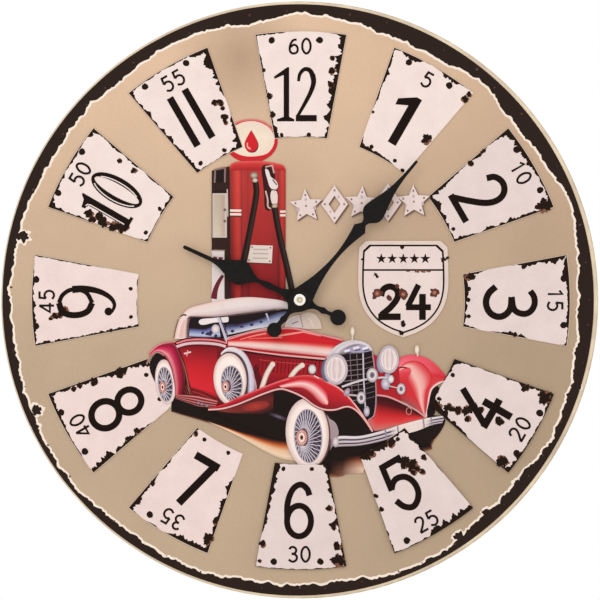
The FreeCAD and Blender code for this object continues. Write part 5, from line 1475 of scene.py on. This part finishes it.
def draw_car_top(material):
    """The folding top, side window, pillar and windscreen."""
    top = Print("car_top")
    glass = [
        (-63.2, -9.4), (-46.6, -9.4), (-5, -5), (-6, -8), (-12, -13.6), (-24, -16.6), (-40.9, -22.2),
        (-44.4, -22), (-63, -21)]
    top.fill(glass, (34, 25, 26))
    top.over()
    top.band(
        [(-62.6, -16), (-54, -16.6), (-46, -13.4)], [(-62.8, -20.8), (-54, -21.2), (-45, -21.2)],
        [(0, (44, 34, 44)), (0.2, (88, 88, 136)), (0.5, (140, 152, 196)), (0.8, (188, 196, 216)),
         (1, (120, 116, 146))], count=12)
    top.sweep(
        [(-42, -13.6), (-34, -13.4), (-26, -11.6), (-18, -9), (-12, -6.8), (-6, -6)],
        [(-41.6, -20), (-34, -18.4), (-26, -16.6), (-18, -15.4), (-12, -13.8), (-7.4, -11)],
        [(0, (40, 30, 36)), (0.25, (66, 58, 96)), (0.5, (116, 122, 164)), (0.75, (176, 178, 200)),
         (1, (212, 200, 208))],
        [(0, (40, 30, 36)), (0.25, (110, 116, 156)), (0.5, (176, 184, 206)), (0.75, (206, 206, 216)),
         (1, (226, 216, 220))])
    top.over()
    for spot, size in (
            ((-51, -19), 1.7), ((-47.6, -20.6), 1.2), ((-55, -18.6), 0.9), ((-38, -17.6), 1.1),
            ((-33, -15.4), 1.3), ((-27, -14), 1.2), ((-22, -12.6), 0.9), ((-36, -14.6), 0.8)):
        top.fill(
            chipped(ellipse(spot, size, size * 0.6, 15, count=16), size * 0.5, spot[0], 0.3), (58, 48, 78))
    top.glow((-47.8, -16.6), 2.4, 2.7, [(240, 226, 214), (226, 208, 206), (170, 160, 176)], count=20)
    top.blob(
        [(-57.4, -12.6), (-56, -11), (-50, -10.4), (-41, -9.6), (-40.4, -11), (-41, -12.6), (-48, -12.8),
         (-55.6, -14.2)],
        (236, 224, 222))
    top.over()
    roof = smooth([
        (-71.4, -22.2), (-70.2, -16.6), (-68.6, -11.4), (-66.4, -8), (-63.5, -5), (-56, -2.6), (-41.5, 0.4),
        (-29.9, 1.6), (-18.3, 0.8), (-9, -0.7), (-5.8, -2.8), (-5.2, -5.2)])
    under = smooth([
        (-64.2, -22), (-64.2, -17), (-63.8, -12), (-63, -9.6), (-60, -9.4), (-56, -9.5), (-48, -9.5),
        (-41.5, -8.9), (-29.9, -7.2), (-18.3, -5.8), (-12, -5.1), (-5.2, -5.4)])
    top.band(
        roof, under,
        [(0, (214, 168, 160)), (0.12, (238, 208, 198)), (0.5, (240, 222, 214)), (0.8, (232, 204, 196)),
         (1, (176, 140, 136))],
        [(0, (226, 206, 202)), (0.12, (232, 216, 212)), (0.5, (226, 212, 212)), (0.8, (206, 192, 194)),
         (1, (150, 130, 136))], count=44)
    top.over()
    top.lines(
        (smooth([(-67.4, -21.4), (-66.8, -16), (-65.4, -11.4)]), (2.6, 1.0), (232, 184, 176)),
        (smooth([(-71.6, -21.8), (-70.4, -16), (-68.8, -11)]), 0.5, (120, 84, 82)),
        (smooth([(-63.6, -21.4), (-63.4, -14), (-62.4, -10)]), 0.7, (120, 84, 90)),
        ([(-62.6, -9.7), (-46, -9.9), (-30, -8), (-14, -5.8)], 0.5, (90, 66, 70)),
        ([(-68, -9.6), (-66, -8.4), (-64.4, -8.8)], (0.5, 1.0), (60, 38, 34)),
        ([(-46.6, -9.8), (-44.4, -15), (-41, -24.6)], (1.0, 1.7), (196, 186, 202)),
        ([(-45.4, -9.8), (-43, -15), (-39.8, -22.6)], 0.5, (92, 80, 96)),
        ([(-19, -7.6), (-16.6, -14.4)], 1.0, (188, 184, 204)),
        (smooth([(-41, -21.8), (-34, -19.8), (-24, -17.2), (-12, -15.6)]), 0.9, (222, 196, 194)),
        ([(-63, -21.6), (-46, -22.6)], 0.7, (228, 208, 206)))
    top.build(material)

    belt = Print("car_belt")
    for offset, width, ink in (
            (0, 0.8, (90, 18, 30)), (-0.9, 0.9, (238, 130, 134)), (-1.9, 0.7, (120, 20, 34)),
            (-2.9, 1.5, (222, 190, 192)), (-4.0, 0.6, (96, 22, 32))):
        path = smooth([
            (-70 + offset * 0.1, -23.8 + offset), (-64, -22 + offset), (-56, -21.6 + offset),
            (-47, -22.3 + offset), (-42, -23.6 + offset)])
        belt.line(path, width, ink)
    near_pane = smooth([
        (-8.2, -15.4), (-7.4, -12.6), (-5, -10.2), (-1.6, -9), (0.2, -9), (0.2, -9), (1.6, -16)])
    far_pane = smooth([
        (0.2, -9), (2.6, -7.4), (6, -7), (9, -8.4), (11.4, -11.6), (12.4, -15), (12.4, -16.4),
        (1.6, -16.4)])
    belt.fill(far_pane, (210, 188, 174))
    belt.fill(near_pane, (208, 192, 188))
    belt.lines(
        ([(5, -10.4), (6.6, -12), (7.4, -15)], 0.6, (226, 206, 192)),
        (smooth([(-8.2, -15.4), (-7.4, -12.6), (-5, -10.2), (-1.6, -9), (0.2, -9)]), 0.5, (232, 216, 210)),
        ([(0.2, -9), (1.8, -15.6)], 0.6, (158, 138, 142)),
        ([(-4.4, -13.6), (-0.8, -12.2)], 0.5, (112, 84, 90)))
    belt.build(material)


def draw_car_rear(material):
    """The rear fender with its wheel, and the running board."""
    rear = Print("car_rear_wheel")
    rear.blob(
        [(-85.4, -38), (-84, -33), (-80, -29.6), (-76, -30), (-73, -36), (-71, -46), (-71, -57), (-76, -56),
         (-82.6, -46)], (32, 22, 20))
    rear.over()
    draw_wheel(rear, (-76.2, -46.6), 5.9, 12.8, (-76.4, -48), 3.7, 9.4, 6)
    draw_spokes(rear, (-77.8, -49.4), ellipse((-76.3, -48), 3.8, 9.5, 6, count=80), 16)
    draw_hub(rear, (-78, -49.6), 1.9, 3.4)
    rear.build(material)
    fender = Print("car_rear_fender")
    outer = smooth([
        (-85.6, -30.9), (-82, -27.4), (-79.2, -25.6), (-74, -24.4), (-71.4, -24.8), (-68.4, -30),
        (-66, -38), (-65, -46), (-66, -54)])
    inner = smooth([
        (-84.6, -31.4), (-81.6, -29.4), (-78.4, -30.4), (-75.4, -34.2), (-73.2, -39), (-71.8, -45),
        (-71, -50), (-70.8, -54.4)])
    fender.band(
        outer, inner,
        [(0, (196, 90, 104)), (0.12, (150, 26, 50)), (0.35, (206, 36, 78)), (0.6, (228, 84, 118)),
         (0.78, (244, 170, 178)), (0.9, (190, 50, 70)), (1, (90, 20, 30))],
        [(0, (60, 18, 24)), (0.12, (84, 20, 28)), (0.35, (120, 24, 34)), (0.6, (164, 30, 52)),
         (0.78, (214, 90, 104)), (0.9, (206, 120, 122)), (1, (80, 24, 30))], count=34)
    fender.lines(
        (smooth([(-87, -36.6), (-85.4, -33), (-82, -30), (-80, -29.9), (-77, -31.6)]), 0.8,
         (180, 130, 122)),
        (smooth([(-85.8, -30.6), (-80, -25.6), (-74, -24), (-70.6, -23.8)]), 0.6, (230, 130, 130)))
    fender.build(material)
    step = Print("car_running_board")
    step.band(
        [(-70.4, -53.8), (-58, -54.6), (-46.6, -57.4)], [(-70.6, -56), (-58, -60.4), (-48, -61.4)],
        [(0, (176, 70, 72)), (0.12, (226, 150, 146)), (0.2, (120, 36, 42)), (0.36, (140, 44, 48)),
         (0.42, (226, 156, 150)), (0.5, (120, 36, 42)), (0.66, (136, 44, 46)), (0.72, (222, 146, 142)),
         (0.8, (104, 32, 38)), (0.93, (120, 40, 44)), (1, (216, 140, 136))], count=14)
    step.over()
    for spot in ((-57.6, -58.6), (-55.6, -59.2), (-52.6, -60)):
        step.glow(spot, 1.1, 0.8, [(170, 160, 176), (110, 80, 96)], count=10)
    step.build(material)


def draw_car_spare(material):
    """The spare wheel with its plated cover, against the hood's side."""
    spare = Print("car_spare_wheel")
    spare.sweep(
        [(-44.6, -30), (-41, -27), (-36, -27.2), (-31, -30.4), (-27.4, -37), (-25.6, -44), (-25.4, -51)],
        [(-45, -31.6), (-41.4, -29.6), (-37, -30.4), (-33, -34), (-30.4, -40), (-29.6, -47), (-30, -54)],
        [(0, (206, 186, 190)), (0.2, (238, 226, 226)), (0.6, (232, 216, 218)), (0.84, (206, 190, 200)),
         (1, (70, 48, 52))],
        [(0, (150, 120, 132)), (0.2, (190, 180, 204)), (0.6, (214, 206, 222)), (0.84, (160, 148, 176)),
         (1, (60, 44, 50))], count=28)
    spare.line(smooth([(-26.6, -42), (-25, -48), (-24.8, -52)]), 0.8, (196, 150, 152))
    spare.over()
    spare.glow((-39.0, -45), 9.9, 15.5, [(60, 42, 42), (84, 66, 66)])
    draw_wheel(spare, (-39.6, -45), 9.4, 14.8, (-38.6, -47.6), 5.6, 9.7, 4)
    draw_spokes(spare, (-42, -49.4), ellipse((-38.6, -47.6), 5.7, 9.8, 4, count=100), 20)
    draw_hub(spare, (-42.2, -49.4), 2.1, 3.5)
    spare.build(material)


def draw_car_front(material):
    """The front wheel in its dark arch, and the near front fender over it."""
    arch = Print("car_front_arch")
    arch.blob(
        [(-50, -62), (-41, -60.6), (-28, -56), (-15, -51.4), (-6, -50.4), (2, -53), (8, -58), (14, -62),
         (24, -62), (30, -61.4), (36, -66), (42, -75), (42, -75), (34, -77), (22, -78), (22, -78),
         (-8, -80), (-30, -72)], SHADOW_BLACK)
    arch.over()
    arch.sweep(
        [(-50, -61.8), (-41, -60.6), (-28, -56), (-19, -53), (-15, -53)],
        [(-46, -63.4), (-38, -64.6), (-28, -65), (-20, -65), (-15, -63)],
        [(0, (64, 30, 28)), (0.35, (132, 46, 44)), (0.75, (140, 56, 48)), (1, SHADOW_BLACK)],
        [(0, (70, 30, 28)), (0.3, (104, 38, 36)), (0.6, (76, 34, 32)), (1, SHADOW_BLACK)])
    arch.glow((-25, -60.4), 8, 2.6, [(176, 62, 50), (160, 54, 46), (134, 48, 44)], 10)
    arch.glow((-12, -66.4), 6.6, 1.5, [(120, 106, 124), (70, 58, 68), SHADOW_BLACK], -20)
    arch.over()
    arch.sweep(
        [(11.4, -62), (14.8, -64.4), (17.8, -68), (19.8, -73), (20.6, -80)],
        [(13, -64), (15.4, -68), (16.8, -74), (17.2, -80), (17, -86)],
        [(0, (60, 46, 46)), (0.3, (168, 146, 150)), (0.7, (150, 128, 132)), (1, (70, 52, 52))], count=14)
    arch.blob([(16, -68), (19.4, -69), (21.4, -72), (21.8, -77), (17.4, -79), (16.6, -72)], (168, 146, 150))
    arch.build(material)

    wheel = Print("car_front_wheel")
    wheel.glow((4.8, -76.1), 12.7, 20.1, [(60, 40, 38), (96, 68, 62)], 3)
    draw_wheel(wheel, (4.3, -75.8), 12.3, 19.8, (4.8, -77.4), 7.5, 14.8, 3)
    draw_spokes(wheel, (1.2, -78.2), ellipse((4.8, -77.4), 7.6, 14.9, 3, count=150), 30)
    draw_hub(wheel, (1.1, -78.2), 3.2, 4.8)
    wheel.build(material)

    fender = Print("car_front_fender")
    crest = smooth([
        (-52, -61.6), (-44, -59.4), (-36, -56.4), (-27, -52.6), (-17, -48), (-6.7, -44.2), (0, -42.9),
        (6, -42.6), (11, -43.8), (16, -46), (21.9, -49.2), (27, -53.6), (31, -58.4), (36, -65),
        (41.6, -74.4)])
    hem = smooth([
        (-52, -62.6), (-44, -62), (-36, -59.8), (-28, -56.6), (-19.6, -53.2), (-11, -50.8), (-4, -52.6),
        (2.4, -55.8), (8, -60), (13.6, -62.4), (20, -62.6), (27, -60.8), (31.6, -62.6), (36.4, -67.6),
        (41.4, -75)])
    fender.band(
        crest, hem,
        [(0, (200, 60, 66)), (0.12, RED), (0.3, (190, 36, 44)), (0.6, (150, 30, 40)), (1, (104, 24, 32))],
        [(0, (226, 120, 120)), (0.12, (206, 44, 52)), (0.3, (196, 40, 48)), (0.6, (176, 36, 44)),
         (1, (130, 28, 36))], count=56)
    fender.lines((hem, 1.3, (96, 26, 32)), (moved(hem, 0, 0.2), 0.85, (232, 184, 178)))
    fender.over()
    shine = smooth([(-12, -48.6), (-5, -46.4), (1, -45.2), (7, -46), (12, -49), (15.4, -53), (16.4, -58)])
    edge = smooth([
        (-10, -50), (-4, -49.8), (2, -50.4), (6.6, -53.4), (9.6, -56.6), (12.6, -59.2), (15.6, -60)])
    fender.band(
        shine, edge,
        [(0, (206, 46, 54)), (0.2, (234, 110, 114)), (0.45, PALE_PINK), (0.7, (240, 160, 156)),
         (1, (190, 40, 48))], count=30)
    fender.lines(
        (smooth([(-40, -57.4), (-28, -52.8), (-14, -47.2), (-6, -44.8)]), (0.4, 1.2), (226, 96, 100)),
        (smooth([(14, -45.8), (22, -50), (27, -54.4), (34, -63), (41, -73.8)]), (0.6, 1.0),
         (236, 170, 164)))
    fender.build(material)


def draw_lamp(sheet, centre, across, up, tilt=0.0):
    """A plated lamp with a pale lens."""
    sheet.over()
    sheet.glow(
        centre, across, up,
        [(232, 210, 204), (226, 204, 200), (220, 198, 198), (240, 224, 222), (168, 152, 166)], tilt)
    sheet.over()
    sheet.line(ellipse(centre, across * 0.82, up * 0.82, tilt), 0.35, (178, 162, 166), closed=True)
    for k, part in enumerate((-0.6, -0.4, -0.2, 0.1, 0.34, 0.58)):
        reach = up * 0.74 * math.sqrt(1 - part**2)
        flute = [
            (centre[0] + across * part * 0.7, centre[1] + reach), (centre[0] + across * part, centre[1]),
            (centre[0] + across * part * 0.7, centre[1] - reach)]
        sheet.line(smooth(flute), 0.8 if k % 2 else 0.3, (238, 219, 213) if k % 2 else (202, 184, 188))
    sheet.over()


BUMPER_POINTS = 61


def draw_car_fittings(material):
    """Lamps, bumper bars and the small plated fittings."""
    lamps = Print("car_lamps")
    lamps.glow((15.6, -40), 3.6, 6.6, [(150, 150, 176), (90, 84, 104)], count=24)
    draw_lamp(lamps, (20.6, -39.4), 6.8, 8.9)
    lamps.glow((46.6, -35.6), 3, 6, [(196, 196, 214), (130, 124, 146)], count=24)
    draw_lamp(lamps, (50.7, -33.8), 5.8, 8.1)
    lamps.line([(49.8, -42), (49.2, -51)], 2.6, (170, 162, 182))
    lamps.glow((48.8, -47.6), 2.6, 3.4, [(228, 220, 222), (150, 142, 164)], count=18)
    for centre, across, up, heart in (
            ((41.2, -42.7), 3.3, 4.2, True), ((57.6, -50.6), 2.5, 3.3, True), ((35, -55.6), 2.6, 3.6, True),
            ((7.1, -39.4), 2.3, 2.8, False), ((51.8, -45), 1.8, 2.4, False)):
        lamps.glow(centre, across, up, [(232, 222, 220), (236, 226, 222), (150, 136, 148)], count=24)
        if heart:
            lamps.over()
            lamps.glow(centre, across * 0.45, up * 0.45, [(70, 58, 72), (150, 138, 150)], count=14)
    lamps.lines(
        ([(44.6, -44.2), (50, -44)], 1.0, (206, 196, 204)),
        ([(51, -49), (55.6, -50)], 0.7, (206, 176, 172)),
        ([(27.6, -53.8), (32.6, -54.4)], 1.0, (196, 176, 182)))
    lamps.glow((26.8, -52.4), 1.6, 2.6, [(206, 190, 202), (150, 120, 136)], -30, count=16)
    lamps.line(ellipse((62, -63.2), 1.5, 2, count=16), 0.45, (200, 130, 126), closed=True)
    for centre, across, up in (((30, -17.9), 1.2, 2.7), ((66.6, -28.2), 1.3, 2.6)):
        lamps.glow(centre, across, up, [(244, 232, 218), (236, 220, 204), (206, 184, 166)], count=16)
    lamps.lines(
        ([(30, -20), (29.8, -23)], 0.8, (226, 208, 196)), ([(67, -30), (67, -32)], 0.8, (226, 208, 196)),
        ([(8, -43), (11, -44.6)], 0.8, (236, 190, 184)))
    lamps.build(material)

    bumper = Print("car_bumper")
    upper = smooth([
        (19.8, -78.4), (22.6, -77.2), (34, -77.2), (46, -74.4), (56.4, -71.2), (66, -68.6), (74, -66.8),
        (82.8, -65.6)])
    lower = smooth([
        (20, -83.6), (23, -83.4), (34, -82.8), (46, -80.4), (56.6, -77), (66, -74.6), (75, -71.2),
        (81, -70)])
    chrome = [
        (0, (120, 98, 108)), (0.08, (236, 226, 226)), (0.26, (212, 198, 204)), (0.34, (66, 48, 62)),
        (0.42, (58, 42, 54)), (0.5, (216, 202, 206)), (0.64, (190, 174, 186)), (0.7, (62, 46, 58)),
        (0.78, (72, 54, 66)), (0.84, (214, 198, 202)), (1, (120, 98, 106))]
    plain = blended(chrome, (238, 218, 210), 0.94)
    upper, lower = spaced(upper, BUMPER_POINTS), spaced(lower, BUMPER_POINTS)
    for start, end, inks, end_inks in (
            (0, 30, chrome, chrome), (30, 34, chrome, plain), (34, 50, plain, plain),
            (50, 54, plain, chrome), (54, 60, chrome, chrome)):
        bumper.band(upper[start:end + 1], lower[start:end + 1], inks, end_inks, count=end - start + 1)
    bumper.over()
    bumper.glow((20.4, -80.6), 1.9, 3.1, [(240, 228, 224), (170, 152, 158)], count=20)
    for x, z in ((48.6, -76.2), (55.6, -74), (70.2, -70.2), (74.6, -69)):
        bumper.line([(x, z + 2.4), (x + 0.5, z - 2.4)], 0.9, (150, 140, 156))
    bumper.line([(76, -68.2), (82, -67)], 0.7, (96, 80, 92))
    bumper.build(material)


def draw_face():
    """Every printed piece of the face, lowest first."""
    ink = printed_ink()
    draw_band(ink)
    draw_globe(ink)
    for hour in (1, 3, 7, 9, 11, 2, 8, 10, 12):
        draw_plaque(hour, ink)
    for draw in (
            draw_pump, draw_ornaments, draw_crest, draw_car_ground, draw_car_far_side, draw_car_side,
            draw_car_radiator, draw_car_top, draw_car_hood, draw_car_rear, draw_car_spare, draw_car_front,
            draw_car_fittings):
        draw(ink)
    for hour in (4, 6, 5):
        draw_plaque(hour, ink)


# ---------------------------------------------------------------- camera, light and floor

FLOOR_DROP = 0.3
FLOOR_RADIUS = 0.6
CAMERA_AWAY = 0.948
CAMERA_LENS = 100.0
CAMERA_SHIFT = (0.00017, -0.00006)     # metres across and up, as the dial stands a little off the middle
KEY_PLACE = (-0.5, -1.1, 0.9)
KEY_SIZE = 0.7
KEY_POWER = 3.0


def add_light(name, place, target, size, power):
    data = bpy.data.lights.new(name, "AREA")
    data.shape, data.size, data.energy = "DISK", size, power
    light = bpy.data.objects.new(name, data)
    light.location = place
    light.rotation_euler = (Vector(target) - Vector(place)).to_track_quat("-Z", "Y").to_euler()
    bpy.context.scene.collection.objects.link(light)


def set_studio():
    """Camera square to the dial, white surroundings, one soft light and a small pale floor below."""
    scene = bpy.context.scene
    scene.view_settings.view_transform = "Standard"
    world = bpy.data.worlds.new("white studio")
    world.use_nodes = True
    world.node_tree.nodes["Background"].inputs["Color"].default_value = (1, 1, 1, 1)
    world.node_tree.nodes["Background"].inputs["Strength"].default_value = 1.0
    scene.world = world
    add_light("key", KEY_PLACE, (0, 0, 0), KEY_SIZE, KEY_POWER)
    data = bpy.data.cameras.new("camera")
    data.lens = CAMERA_LENS
    camera = bpy.data.objects.new("camera", data)
    camera.location = (CAMERA_SHIFT[0], -FACE_DEPTH * MM - CAMERA_AWAY, CAMERA_SHIFT[1])
    camera.rotation_euler = (math.pi / 2, 0, 0)
    scene.collection.objects.link(camera)
    scene.camera = camera
    mesh = bpy.data.meshes.new("studio_floor")
    rim = [(x, y, -FLOOR_DROP) for x, y in ellipse((0, 0), FLOOR_RADIUS, count=60)]
    mesh.from_pydata(rim, [], [list(range(len(rim)))])
    floor = bpy.data.objects.new("studio_floor", mesh)
    paint = Finish("pale floor", 0.8, specular=0.2)
    paint.tint(paint.ramp(paint.grain(3), (0.3, (232, 230, 226)), (0.7, (238, 236, 232))))
    mesh.materials.append(paint.material)
    scene.collection.objects.link(floor)


dress_cad_nodes()
draw_face()
set_studio()
